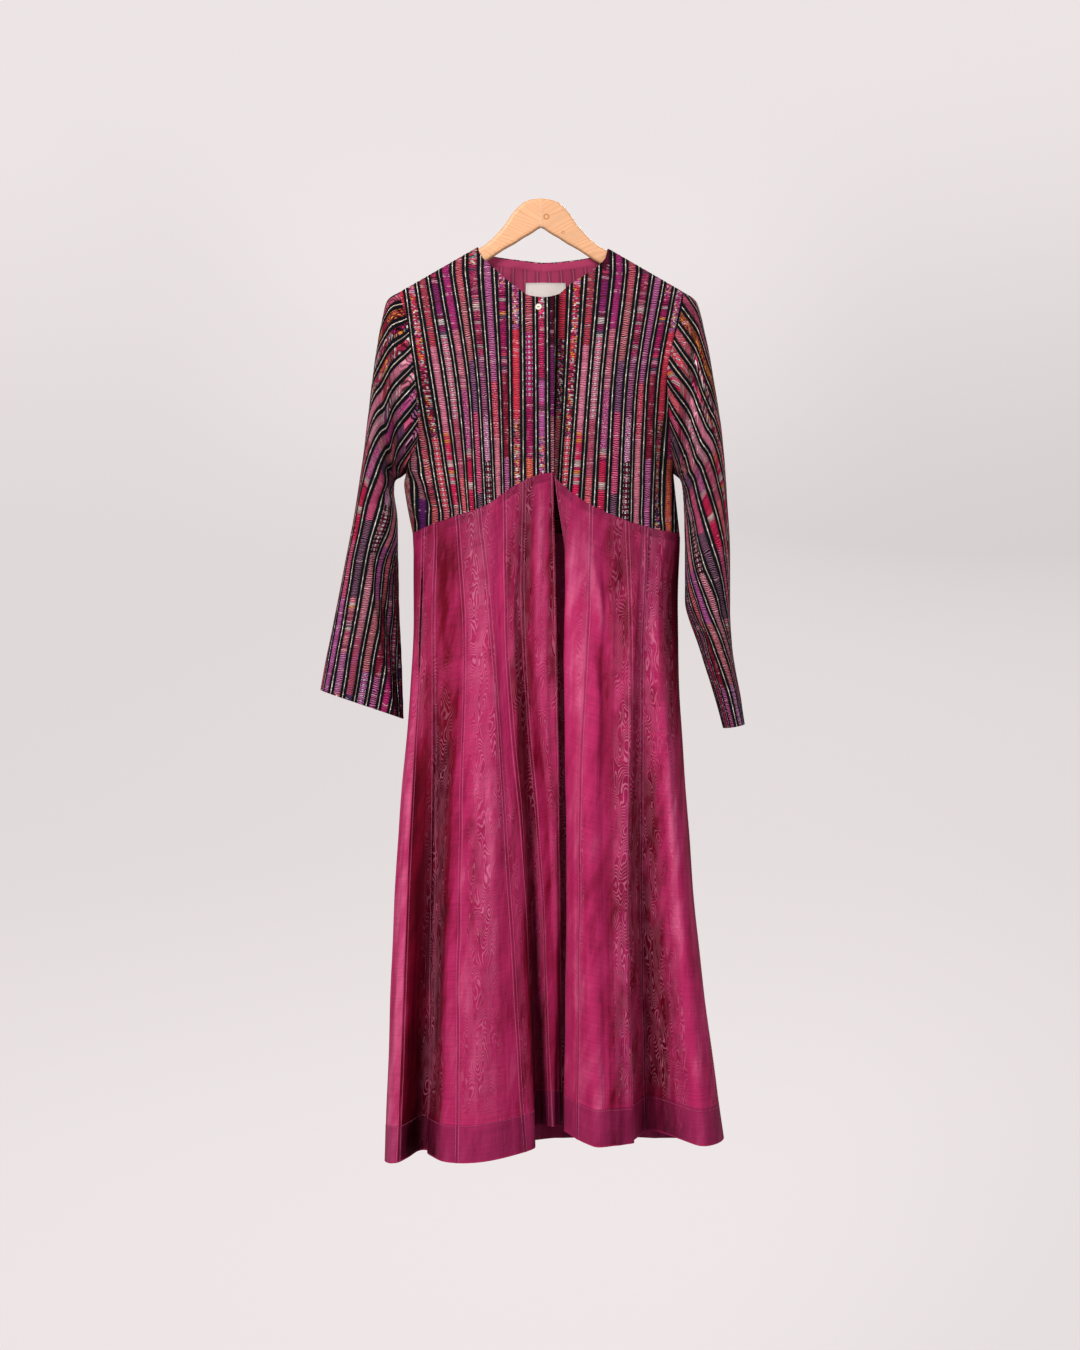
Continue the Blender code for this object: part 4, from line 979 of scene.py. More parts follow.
def skirt_top(fold, x):
    """Distance out and height of the waist seam at places counted in folds."""
    is_left = fold <= LEFT_EDGE_FOLD
    is_back = (fold > LEFT_EDGE_FOLD) & (fold < RIGHT_EDGE_FOLD)
    z_left, z_right, z_back = [edge_z(WAISTS[part], x) for part in ("left", "right", "back")]
    z = np.where(is_left, z_left, np.where(is_back, z_back, z_right))
    front = -body_reach(x, z, "front")
    right = front + overlap_shift(x)
    return np.where(is_left, front, np.where(is_back, body_reach(x, z, "back"), right)), z


def skirt_point(fold, drop):
    """Points of the skirt's outer face; drop goes from the waist seam (0) to the hem (1)."""
    row = table_value(range(len(FOLDS)), FOLDS, fold)
    top_x, upper_x, upper_y, lower_x, lower_y, hem_x, hem_y, hem_z = np.moveaxis(row, -1, 0)
    top_y, top = skirt_top(fold, top_x)
    z = mix(top, hem_z, drop)
    depths = [-top, -UPPER_LEVEL_Z + 0.0 * top, -LOWER_LEVEL_Z + 0.0 * top, -hem_z]
    x = column_value(depths, [top_x, upper_x, lower_x, hem_x], -z)
    y = column_value(depths, [top_y, upper_y, lower_y, hem_y], -z)
    return np.stack([x, y, z], axis=-1)


def skirt_normal(fold, drop):
    step = 1e-3
    after, before = np.minimum(fold + step, LAST_FOLD), np.maximum(fold - step, 0.0)
    around = skirt_point(after, drop) - skirt_point(before, drop)
    down = skirt_point(fold, np.minimum(drop + step, 1.0)) - skirt_point(fold, np.maximum(drop - step, 0.0))
    return unit(np.cross(around, down))


# how wide a fold counts for the silk's unevenness. The creases of the front give way to those of the back
# over half a fold, and the sharper lines fade in and out over shares of the skirt's length
FOLD_WIDTH = 0.034
BACK_FADE = 0.5
LINE_FADE_IN = 0.12
LINE_FADE_OUT = 0.10


def skirt_wrinkles(fold, drop, points):
    """Creases and unevenness of the skirt, fading out at the waist seam."""
    x, z = points[..., 0], points[..., 2]
    past_left, past_right = (fold - LEFT_EDGE_FOLD) / BACK_FADE, (fold - RIGHT_EDGE_FOLD) / BACK_FADE
    on_back = ease(past_left) * ease(-past_right)
    on_front = ease(-past_left) + ease(past_right)
    height = crease_height(SKIRT_CREASES["front"], x, z) * on_front
    height = height + crease_height(SKIRT_CREASES["back"], x, z) * on_back
    height = height + ripple(fold * FOLD_WIDTH, z, SILK_WAVES)
    for line in FOLD_LINES:
        middle = mix(line.top, line.bottom, drop)
        reach = ease((drop - line.start) / LINE_FADE_IN) * ease((line.end - drop) / LINE_FADE_OUT)
        height = height + line.height * MM * reach * np.exp(-((fold - middle) / line.width) ** 2)
    gathers = np.sin(fold * 9.7 + 1.3 * np.sin(fold * 2.3)) * 0.8 * MM
    height = height + gathers * ease(drop / 0.012) * np.exp(-drop / 0.07)
    open_edge = ease(fold / 0.4) * ease((LAST_FOLD - fold) / 0.4)
    return height * ease(drop / 0.03) * mix(0.4, 1.0, open_edge)


def seam_place(seam, drop):
    return table_value(SEAM_HEIGHTS, [seam.waist, seam.halfway, seam.hem], drop)


def seam_inset(seam, z):
    """How far a piece stops before its seam: half the gap, and more along a pocket's mouth."""
    if seam.name in OPENING_SEAMS:
        return 0.0 * z
    if seam.name not in POCKET_SEAMS:
        return SEAM_GAP / 2.0 + 0.0 * z
    share = np.clip((z - POCKET_TOP_Z) / (POCKET_BOTTOM_Z - POCKET_TOP_Z), 0.0, 1.0)
    waves = 1.0 + 0.35 * np.sin(z * 190.0 + 0.8) + 0.25 * np.sin(z * 411.0)
    return SEAM_GAP / 2.0 + POCKET_HALF_GAPE * np.sin(math.pi * share) * waves


def skirt_drops():
    """Rows down the skirt, with close ones on each side of the hem's upper edge."""
    hem = 1.0 - HEM_DEPTH / SKIRT_LENGTH
    rows = np.linspace(0.0, hem - 0.004, SKIRT_ROWS - 9)
    return np.concatenate([rows, [hem - 0.0015, hem + 0.0015], np.linspace(hem + 0.008, 1.0, 7)])


def kali_places(first, last, drops):
    """Grids of a panel's places: in folds, across, and away from its first and its last edge. Also its width
    from seam to seam."""
    share = np.linspace(0.0, 1.0, SKIRT_DENSE)[None, :]
    fold = mix(seam_place(first, drops)[:, None], seam_place(last, drops)[:, None], share)
    dense = skirt_point(fold, drops[:, None] + 0.0 * share)
    arc = run_across(dense)
    start = seam_inset(first, dense[:, 0, 2])[:, None]
    end = arc[:, -1:] - seam_inset(last, dense[:, -1, 2])[:, None]
    even = np.linspace(0.0, 1.0, SKIRT_COLUMNS - 2 * len(SEAM_BANDS) + 2)[1:-1]
    wide = np.minimum(1.0, (end - start) / 0.012)
    near = start + SEAM_BANDS * wide
    far = end - SEAM_BANDS[::-1] * wide
    across = np.concatenate([near, near[:, -1:] + (far[:, :1] - near[:, -1:]) * even, far], axis=1)
    fold = np.stack([np.interp(across[row], arc[row], fold[row]) for row in range(len(drops))])
    return fold, across, across - start, end - across, arc[:, -1:]


def kali_shade_and_water(fold, drop, points, hem_distance, seams):
    """Painted shade and light of a panel, and its watered pattern. seams gives each seam with the distance
    from it.
    """
    lie = table_value([row.fold for row in SKIRT_SHADE_AND_WATER], [row[1:] for row in SKIRT_SHADE_AND_WATER], fold)
    lower = ease((drop - LIE_UPPER_DROP) / (LIE_LOWER_DROP - LIE_UPPER_DROP))
    tone = mix(lie[..., 0], lie[..., 1], lower) * ease(drop / 0.12 + 0.30)
    x, y, z = np.moveaxis(points, -1, 0)
    # painted shadow in the mouth of each pocket
    for seam, away in seams:
        if seam.name in POCKET_SEAMS:
            mouth = ease((POCKET_TOP_Z + 0.004 - z) / 0.012) * ease((z - POCKET_BOTTOM_Z + 0.004) / 0.012)
            tone = tone + 0.8 * mouth * np.exp(-(away / (2.2 * MM)) ** 2)
    # painted light on the raised creases of the front and painted shade in their troughs
    tone = tone - crease_height(SKIRT_CREASES["front"], x, z) * (y < 0.0) / (3.0 * MM) * 0.22
    water = mix(lie[..., 2], lie[..., 3], lower) * ease((hem_distance - HEM_DEPTH) / 0.03)
    return pairs(tone, water)


def make_kali(name, first, last, materials):
    """One skirt panel between two seams."""
    drops = skirt_drops()
    fold, across, from_first, from_last, width = kali_places(first, last, drops)
    drop = drops[:, None] + 0.0 * fold
    points = skirt_point(fold, drop)
    seam_distance = np.minimum(from_first, from_last)
    felled = SEAM_HEIGHT * (1.0 - ease((seam_distance - 1.6 * MM) / (2.4 * MM)))
    down = run_length(points)
    hem_distance = down[-1:] - down
    doubled = HEM_HEIGHT * (1.0 - ease((hem_distance - HEM_DEPTH) / (2.0 * MM)))
    height = skirt_wrinkles(fold, drop, points) + felled * ease(drop / 0.01) + doubled
    maps = {
        "cloth": pairs(across - width / 2.0 + first.waist, down),
        "edges": pairs(seam_distance, hem_distance),
        "lie": kali_shade_and_water(fold, drop, points, hem_distance, ((first, from_first), (last, from_last))),
    }
    at_waist = drop == 0.0
    normals = level_out(skirt_normal(fold, drop), 2, at_waist)
    points[..., 2] -= np.where(at_waist, SEAM_GAP / 2.0, 0.0)
    outer = points + normals * height[..., None]
    inner = points + normals * (height - SILK_WALL)[..., None]
    piece = add_shell(name + "_cloth", outer, inner, maps, materials)
    held_by = ["bodice_back"] if "back" in name else ["bodice_front_left", "bodice_front_right"]
    declare_cloth(piece, name, points)


# ---------------------------------------------------------------- neck

# a piece of cloth laid inside the back: top gives its upper edge at places across, bottom is the height of
# its lower edge, inset how far it lies in from the back's face, and relief gives how high its face stands at
# distances from its upper and lower edge
Patch = namedtuple("Patch", "name node slot lies_on x_range top bottom columns rows inset wall relief")


def lining_patch():
    return Patch(
        name="back_neck_lining_cloth", node="back_neck_lining", slot="lining_silk",
        lies_on="bodice_back_cloth", x_range=(NECK_POINT_LEFT + 2.0 * MM, NECK_POINT_RIGHT - 2.0 * MM),
        top=lambda x: edge_z(BACK_NECKLINE, x) - 1.0 * MM, bottom=LINING_BOTTOM_Z, columns=96, rows=60,
        inset=STRIPED_WALL + LAYER_GAP, wall=LINING_WALL,
        relief=lambda down, up: BINDING_RELIEF * (1.0 - ease((down - BINDING_DEPTH) / (1.0 * MM))))


def label_patch():
    """The blank label, folded in above and below, between the lining and the neck."""
    def folded(distance):
        return LABEL_RELIEF * (1.0 - ease((distance - LABEL_FOLD) / (0.8 * MM)))

    low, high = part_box("neck_label")
    return Patch(
        name="neck_label_tape", node="neck_label", slot="label_tape", lies_on="back_neck_lining_cloth",
        x_range=(low[0], high[0]), top=lambda x: high[2] - LABEL_MARGIN + 0.0 * x,
        bottom=low[2] + LABEL_MARGIN, columns=40, rows=24,
        inset=STRIPED_WALL + LINING_WALL + 2.0 * LAYER_GAP + LABEL_LIFT, wall=LABEL_WALL,
        relief=lambda down, up: folded(down) + folded(up))


def make_patch(patch, material):
    x = np.linspace(*patch.x_range, patch.columns)[None, :]
    z = mix(patch.top(x), patch.bottom, np.linspace(0.0, 1.0, patch.rows)[:, None])
    points, normals = body_surface(x + 0.0 * z, z, "back", "back")
    points = points + normals * bodice_wrinkles(BODICE_PANELS[2], points)[..., None] - normals * patch.inset
    across = run_across(points)
    down = run_length(points)
    up = down[-1:] - down
    edges = pairs(np.minimum(across, across[:, -1:] - across), np.minimum(down, up))
    face = points - normals * (patch.wall + patch.relief(down, up))[..., None]
    piece = add_shell(patch.name, face, points, {"cloth": pairs(across, down), "edges": edges}, [material])
    declare_cloth(piece, patch.node, points)


# ---------------------------------------------------------------- materials

class Socket:
    """A socket of a node tree. Sums of sockets and numbers add Math nodes to the tree."""

    def __init__(self, tree, output=None):
        self.tree = tree
        self.output = output

    def add(self, kind, settings=None, inputs=None, result=0):
        """Adds a node of a type: first its settings, then the values or links of its sockets. Returns the
        asked output."""
        node = self.tree.nodes.new(kind)
        for key, value in (settings or {}).items():
            if key == "stops":
                fill_ramp(node.color_ramp, value)
            else:
                setattr(node, key, value)
        for key, value in (inputs or {}).items():
            if isinstance(value, Socket):
                self.tree.links.new(value.output, node.inputs[key])
            else:
                node.inputs[key].default_value = value
        return Socket(self.tree, node.outputs[result])

    def math(self, operation, *others, clamp=False):
        inputs = dict(enumerate((self, *others)))
        return self.add("ShaderNodeMath", {"operation": operation, "use_clamp": clamp}, inputs)

    def __add__(self, other):
        return self.math("ADD", other)

    __radd__ = __add__

    def __mul__(self, other):
        return self.math("MULTIPLY", other)

    __rmul__ = __mul__

    def __sub__(self, other):
        return self.math("SUBTRACT", other)

    def __rsub__(self, other):
        return self.add("ShaderNodeMath", {"operation": "SUBTRACT"}, {0: other, 1: self})

    def __truediv__(self, other):
        return self.math("DIVIDE", other)

    def __gt__(self, other):
        return self.math("GREATER_THAN", other)

    def __abs__(self):
        return self.math("ABSOLUTE")

    def floor(self):
        return self.math("FLOOR")

    def clamp(self):
        return self.math("ADD", 0.0, clamp=True)

    def sine(self):
        """Sine over each whole step."""
        return (self * math.tau).math("SINE")

    def wave(self):
        """An even wave from 0 to 1 over each whole step."""
        return self.sine() * 0.5 + 0.5

    def reach(self, other):
        """How far a place lies from the middle, from its parts along two axes."""
        return (self * self + other * other).math("SQRT")

    def rise(self, low, high):
        """0 below low, 1 above high, with a soft step between."""
        settings = {"interpolation_type": "SMOOTHSTEP"}
        return self.add("ShaderNodeMapRange", settings, {"Value": self, "From Min": low, "From Max": high})

    def fall(self, low, high):
        """1 below low, 0 above high."""
        return 1.0 - self.rise(low, high)

    def between(self, low, high, soft):
        """1 between low and high."""
        return self.rise(low - soft, low + soft) * self.fall(high - soft, high + soft)

    def flat(self, colour):
        """A plain colour."""
        made = self.add("ShaderNodeRGB")
        made.output.default_value = (*colour, 1.0)
        return made

    def mixed(self, blend_type, other, factor):
        if not isinstance(other, Socket):
            other = self.flat(other)
        settings = {"data_type": "RGBA", "blend_type": blend_type}
        return self.add("ShaderNodeMix", settings, {"Factor": factor, "A": self, "B": other}, "Result")

    def blend(self, other, factor):
        """This colour mixed with another."""
        return self.mixed("MIX", other, factor)

    def shade(self, factor):
        """This colour made lighter or darker by a factor."""
        grey = self.add("ShaderNodeCombineColor", {}, {0: factor, 1: factor, 2: factor})
        return self.mixed("MULTIPLY", grey, 1.0)

    def dull(self, amount):
        """This colour made darker by an amount."""
        return self.shade(1.0 - amount)

    def ramp(self, stops, factor):
        """Colour of a ramp at a factor."""
        return self.add("ShaderNodeValToRGB", {"stops": stops}, {0: factor})

    def part(self, axis):
        """One part of a vector."""
        return self.add("ShaderNodeSeparateXYZ", {}, {0: self}, axis)

    def vector(self, x, y, z=0.0):
        return self.add("ShaderNodeCombineXYZ", {}, {0: x, 1: y, 2: z})

    def uv(self, name):
        """Both parts of the place on one of the piece's UV maps."""
        place = self.add("ShaderNodeUVMap", {"uv_map": name})
        return place.part("X"), place.part("Y")

    def place(self):
        """The place in the piece's own space."""
        return self.add("ShaderNodeTexCoord", result="Object")

    def noise(self, vector, scale=1.0, detail=2.0, roughness=0.5, dimensions="3D"):
        inputs = {"Vector": vector, "Scale": scale, "Detail": detail, "Roughness": roughness}
        return self.add("ShaderNodeTexNoise", {"noise_dimensions": dimensions}, inputs)

    def grain(self, x, y, detail=2.0, roughness=0.5):
        """Noise over the cloth."""
        return self.noise(self.vector(x, y), detail=detail, roughness=roughness, dimensions="2D")

    def cells(self, dimensions, place, result):
        """Loose cells, by a place along a line or on the cloth."""
        settings = {"voronoi_dimensions": dimensions}
        return self.add("ShaderNodeTexVoronoi", settings, {**place, "Scale": 1.0}, result)

    def random(self, value):
        """A random number for each value."""
        return self.add("ShaderNodeTexWhiteNoise", {"noise_dimensions": "1D"}, {"W": value})

    def one_of(self, colours, value):
        """One of the colours, at random for each value."""
        return self.ramp(colour_steps(colours), self.random(value))

    def bump(self, depth, strength):
        """Surface normal of this height."""
        return self.add("ShaderNodeBump", {}, {"Strength": strength, "Distance": depth, "Height": self})


def fill_ramp(ramp, stops):
    """Sets a colour ramp from the name of its interpolation and rows of place and colour."""
    ramp.interpolation, *rows = stops
    while len(ramp.elements) < len(rows):
        ramp.elements.new(1.0)
    for element, (place, colour) in zip(ramp.elements, rows):
        element.position = place
        element.color = (*colour, 1.0)


def colour_steps(colours):
    """Ramp stops that give every colour the same share."""
    return ["CONSTANT"] + [(index / len(colours), colour) for index, colour in enumerate(colours)]


def join(material, **values):
    """Sets sockets of the material's shader to plain values or to other sockets."""
    shader = material.node_tree.nodes["Principled BSDF"]
    for name, value in values.items():
        socket = shader.inputs[name.replace("_", " ")]
        if isinstance(value, Socket):
            material.node_tree.links.new(value.output, socket)
        else:
            socket.default_value = value
    return material


def start_material(name, **constants):
    """A material with its constant sockets set, and a bare socket to build the rest of its tree from."""
    material = bpy.data.materials.new(name)
    material.use_nodes = True
    return join(material, **constants), Socket(material.node_tree)


# colours of the patches along the bands, and of what is woven into them
PATCH_COLOURS = (
    (0.470, 0.135, 0.205), (0.450, 0.125, 0.170), (0.500, 0.055, 0.080), (0.500, 0.022, 0.120),
    (0.340, 0.018, 0.110), (0.340, 0.040, 0.200), (0.330, 0.075, 0.230), (0.085, 0.012, 0.090),
    (0.030, 0.005, 0.038), (0.160, 0.009, 0.026), (0.070, 0.006, 0.018), (0.430, 0.014, 0.060),
    (0.520, 0.095, 0.120), (0.300, 0.050, 0.090), (0.270, 0.013, 0.075), (0.420, 0.085, 0.095),
    (0.460, 0.030, 0.055), (0.200, 0.020, 0.110),
)
FLECK_COLOURS = (
    (0.56, 0.050, 0.100), (0.34, 0.330, 0.320), (0.05, 0.080, 0.100), (0.58, 0.220, 0.030),
    (0.50, 0.190, 0.270), (0.16, 0.015, 0.060), (0.60, 0.560, 0.500), (0.12, 0.020, 0.020),
    (0.40, 0.020, 0.110),
)
ROSE_THREAD = (0.66, 0.34, 0.42)
PALE_SLUB = (0.66, 0.38, 0.42)
RING_GREY = (0.50, 0.44, 0.42)
RING_BLUE = (0.05, 0.12, 0.26)
CORD_SPECK = (0.82, 0.78, 0.70)
WATERED_SILK = (0.60, 0.19, 0.30)
LINING_STRIPE = (0.50, 0.20, 0.25)
SHELL_LAYER = (0.62, 0.50, 0.36)
BUTTON_THREAD = (0.120, 0.018, 0.030)
LATE_WOOD = (0.40, 0.150, 0.055)
KNOT_RING = (0.30, 0.11, 0.035)
KNOT_HEART = (0.62, 0.30, 0.12)
PAPER = (0.800, 0.745, 0.745)


# kinds of weave: the lowest and the highest random number of the patches that have it, and how soft the ends
# of its range are. The other patches are plain
TICKED = (0.30, 0.56, 0.001)
FLECKED = (0.56, 0.70, 0.001)
BARRED = (0.70, 0.78, 0.001)
RINGED = (0.78, 0.82, 0.001)
WOUND = (0.82, 0.93, 0.001)
# sizes in the weave. Rings stand RING_SHARE of a repeat apart across the cloth, and RING_DROP apart down it
PATCH_TEAR = 0.011
BAR_HEIGHT = 0.0046
RING_SHARE = 0.28
RING_DROP = 0.0070
WARP_PITCH = 0.0014


def woven_patch(start, settings, across, down, place, band):
    """Colour of the bands, patch by patch, with what is woven into each kind. Also the height of the
    crosswise threads and of the cloth's mottling."""
    # patches along each band, with torn ends
    torn = down + (start.grain(across * 330.0, down * 90.0) - 0.5) * PATCH_TEAR
    along = {"W": torn / settings.patch + band * 7.31, "Randomness": 1.0}
    key = start.cells("1D", along, "W") * 3.7 + band * 13.1
    first = start.one_of(PATCH_COLOURS, key)
    second = start.one_of(PATCH_COLOURS, key + 5.17)
    kind = start.random(key + 11.9)

    # crosswise threads
    thread = down / settings.rib + start.grain(across * 90.0, down * 75.0 + band) * 2.2
    rib = thread.wave()
    thread_number = thread.floor()
    thread_random = start.random(thread_number + band * 31.7)
    mottle = start.grain(across * 420.0, down * 520.0, roughness=0.6)
    cloud = start.grain(across * 150.0, down * 62.0 + band * 3.0, detail=3.0, roughness=0.6)
    colour = first.shade(0.80 + thread_random * 0.40 + (mottle - 0.5) * 0.80)
    colour = colour.blend(second, ((cloud - 0.52) * 4.0).clamp() * 0.75)

    # pale threads over a dark ground
    ticks = rib.rise(0.25, 0.70) * (0.65 + thread_random * 0.35)
    ticked = first.shade(0.20).blend(first.blend(ROSE_THREAD, 0.28), ticks)
    colour = colour.blend(ticked, kind.between(*TICKED) * 0.80)

    # flecks of many colours
    spread = {"Vector": start.vector(across * 400.0, down * 430.0 + band * 9.0)}
    cells = start.cells("2D", spread, "Color")
    fleck = start.ramp(colour_steps(FLECK_COLOURS), cells.part("X")).shade(0.9)
    colour = colour.blend(fleck, kind.between(*FLECKED) * (cells.part("Y") > 0.36))

    # crosswise bars
    bar_number = (down / BAR_HEIGHT + band * 3.3).floor()
    bar = start.one_of(FLECK_COLOURS, bar_number + band * 17.0).shade(0.75 + thread_random * 0.25)
    barred = kind.between(*BARRED) * (start.random(bar_number + 0.5) > 0.55)
    colour = colour.blend(bar, barred * 0.7)

    # rows of small rings
    cell_x, cell_y = (place - band - 0.5) / RING_SHARE, down / RING_DROP
    ring = (cell_x - (cell_x + 0.5).floor()).reach(cell_y - (cell_y + 0.5).floor())
    dotted = kind.between(*RINGED)
    colour = colour.blend(RING_GREY, dotted * ring.fall(0.22, 0.32))
    colour = colour.blend(RING_BLUE, dotted * ring.fall(0.08, 0.15))

    # winding lines
    winding = start.grain(across * 190.0, down * 120.0 + band * 4.0, detail=1.0) * 7.0
    lines = (winding - winding.floor()).between(0.30, 0.62, 0.06)
    wound = kind.between(*WOUND) * lines
    colour = colour.blend(start.one_of(FLECK_COLOURS, key + 3.3), wound * 0.85)

    # the dark ground between the threads, and painted light on the middle of each band where it bulges,
    # darker by the cords
    away = abs(place - (place + 0.5).floor())
    strength = 0.62 + start.random(key + 8.8) * 0.38
    gaps = 1.0 - rib.fall(0.10, 0.70) * strength * 0.92
    warp = (across / WARP_PITCH).wave()
    colour = colour.shade(gaps * (0.76 + warp * 0.30) * (0.64 + away.rise(0.22, 0.42) * 0.54))
    slip = (start.random(thread_number * 1.3 + band * 3.9) > 0.90) * cloud.rise(0.42, 0.55)
    return colour.blend(PALE_SLUB, slip * rib * 0.50), rib, mottle


# where the cords' edges fade, as shares of a repeat away from the nearest pale cord, and one turn of their
# twist
PALE_CORD_EDGE = (0.020, 0.036)
DARK_CORD_EDGE = (0.236, 0.254)
CORD_TWIST = 0.0030


def striped_cloth(settings):
    """Cords in threes with bands of patches between them, ribbed crosswise."""
    material, start = start_material("striped_patchwork", Specular_IOR_Level=0.03)
    across, down = start.uv("cloth")
    wobble = start.grain(across * 40.0, down * 110.0) - 0.5
    place = across / settings.repeat + wobble * 0.022
    stripe = (place + 0.5).floor()
    away = abs(place - stripe)
    pale = away.fall(*PALE_CORD_EDGE)
    dark = away.fall(*DARK_CORD_EDGE) * (1.0 - pale)
    colour, rib, mottle = woven_patch(start, settings, across, down, place, place.floor())

    # cords
    twist = (down / CORD_TWIST + away * 10.0).wave()
    run = start.grain(stripe * 7.7, down * 60.0)
    speck = start.grain(stripe * 3.1, down * 260.0).rise(0.56, 0.66)
    dark_colour = start.flat(settings.cord).shade(0.6 + twist * 0.9)
    pale_colour = start.flat(settings.pale_cord).shade(run.rise(0.32, 0.62) * 0.65 + 0.35 + twist * 0.25)
    pale_colour = pale_colour.blend(CORD_SPECK, speck * run.rise(0.36, 0.56) * 0.85)
    # painted shade from the lie map darkens the cloth by the bodice's armholes, sides and front edge, and on
    # the sleeves
    colour = colour.blend(dark_colour, dark).blend(pale_colour, pale).shade(start.uv("lie")[0])

    cords = (dark + pale).clamp()
    height = rib * (1.0 - cords) * 0.55 + twist * cords * 0.30 + cords * 0.20 + mottle * 0.20
    return join(material, Base_Color=colour, Roughness=0.68 + mottle * 0.20 + cords * 0.08,
                Normal=height.bump(0.0009, 1.0))


# where shades start and end on the silk, in metres from a seam, from the waist seam or from the hem's fold;
# a third number is how soft the edges are
SEAM_GROOVE = (0.0002, 0.0008)
SEAM_RIDGE = (0.0018, 0.0030, 0.0004)
SEAM_ALLOWANCE = (0.0034, 0.0046)
WAIST_ALLOWANCE = (0.0108, 0.0122)
BODICE_SHADE = (0.02, 0.17)
HEM_EDGE = (HEM_DEPTH - 0.0005, HEM_DEPTH + 0.0005)
HEM_GROOVE = (HEM_DEPTH - 0.0004, HEM_DEPTH + 0.0010, 0.0005)
HEM_FOLD = (0.0012, 0.0026)


def silk(name, crest_light, middle, deep, hem_colour, thread_colour, painted_glow=0.0):
    """Fine silk with slubs, a watered pattern where the cloth lies double, seams and a doubled hem, under
    painted light and shade that follows its folds. Its glow is emission: painted light for the light that
    comes through the thin cloth."""
    material, start = start_material(name, Specular_IOR_Level=0.03)
    across, down = start.uv("cloth")
    seam, hem = start.uv("edges")
    tone, water = start.uv("lie")

    slub = start.grain(across * 15.0, down * 430.0, detail=4.0, roughness=0.70)
    weave = start.grain(across * 1100.0, down * 60.0, detail=1.0)
    cloud = start.grain(across * 30.0, down * 9.0, detail=3.0)
    # painted light and shade of the folds: the tone from the lie map, with long streaks down the cloth, broad
    # and fine, and crumples
    broad = start.grain(across * 46.0, down * 1.7, roughness=0.55)
    fine = start.grain(across * 230.0, down * 3.2, roughness=0.6)
    crumple = start.grain(across * 54.0 - down * 18.0, down * 13.0, detail=3.0, roughness=0.55)
    painted_lightness = 0.56 - tone * 0.54 + (crumple - 0.5) * 0.46 + (broad - 0.5) * 0.36
    painted_lightness = painted_lightness + (fine - 0.5) * 0.12 + (cloud - 0.5) * 0.46
    darkest = tuple(0.50 * part for part in deep)
    dusky = tuple(0.5 * (low + high) for low, high in zip(deep, middle))
    # from painted shadow deep in the folds, through the silk's own colour, to painted light on the crests
    colour = start.ramp(["EASE", (0.0, darkest), (0.22, deep), (0.40, dusky), (0.58, middle), (1.0, crest_light)],
                        painted_lightness.clamp())
    colour = colour.shade(0.56 + slub * 0.76 + weave * 0.10)

    # watered pattern: contour lines of a slow noise, where the cloth lies double
    warp = start.grain(across * 46.0, down * 13.0, detail=1.5, roughness=0.45)
    lines = (warp * 27.0 + across * 285.0).sine().rise(0.22, 0.80)
    patches = start.grain(across * 30.0, down * 1.6, detail=1.0).rise(0.52, 0.62)
    doubled = (patches * 0.45 + water).clamp()
    broken = start.grain(across * 90.0, down * 40.0, detail=1.0).rise(0.30, 0.56)
    watered = lines * doubled * (0.30 + broken * 0.70)
    colour = colour.dull(doubled * 0.17)
    colour = colour.blend(colour.blend(WATERED_SILK, 0.74), watered * 0.62)

    # the doubled hem, under the same painted light and shade as the folds, and its fold
    hem_shade = (painted_lightness * 1.35 + 0.16).clamp() * (0.86 + slub * 0.26)
    in_hem = hem.fall(*HEM_EDGE)
    colour = colour.blend(start.flat(hem_colour).shade(hem_shade), in_hem * 0.68)
    colour = colour.dull(hem.between(*HEM_GROOVE) * 0.22)
    colour = colour.blend(middle, hem.fall(*HEM_FOLD) * 0.55)

    # painted shade under the bodice, and the allowance under the waist seam
    colour = colour.dull(down.fall(*BODICE_SHADE) * 0.30)
    colour = colour.dull(down.fall(*WAIST_ALLOWANCE) * cloud.rise(0.36, 0.58) * 0.34)

    # seam allowances, their ridge of thread under the painted light and shade, and painted shade in the
    # seam's groove
    colour = colour.dull(seam.fall(*SEAM_ALLOWANCE) * 0.14)
    ridge = seam.between(*SEAM_RIDGE) * (0.55 + broken * 0.45)
    in_light = (painted_lightness * 1.5 + 0.16).clamp()
    colour = colour.blend(start.flat(thread_colour).shade(in_light), ridge * 0.55)
    colour = colour.dull(seam.fall(*SEAM_GROOVE) * 0.22)

    if painted_glow:
        join(material, Emission_Strength=painted_glow, Emission_Color=colour)
    height = slub * 0.7 + weave * 0.2 + watered * 0.15 + fine * 1.6
    return join(material, Base_Color=colour, Roughness=0.40 + slub * 0.16 + cloud * 0.10,
                Normal=height.bump(0.0006, 0.8))


# from one stripe to the next, as they show through the lining
STRIPES_BEHIND = 0.0165


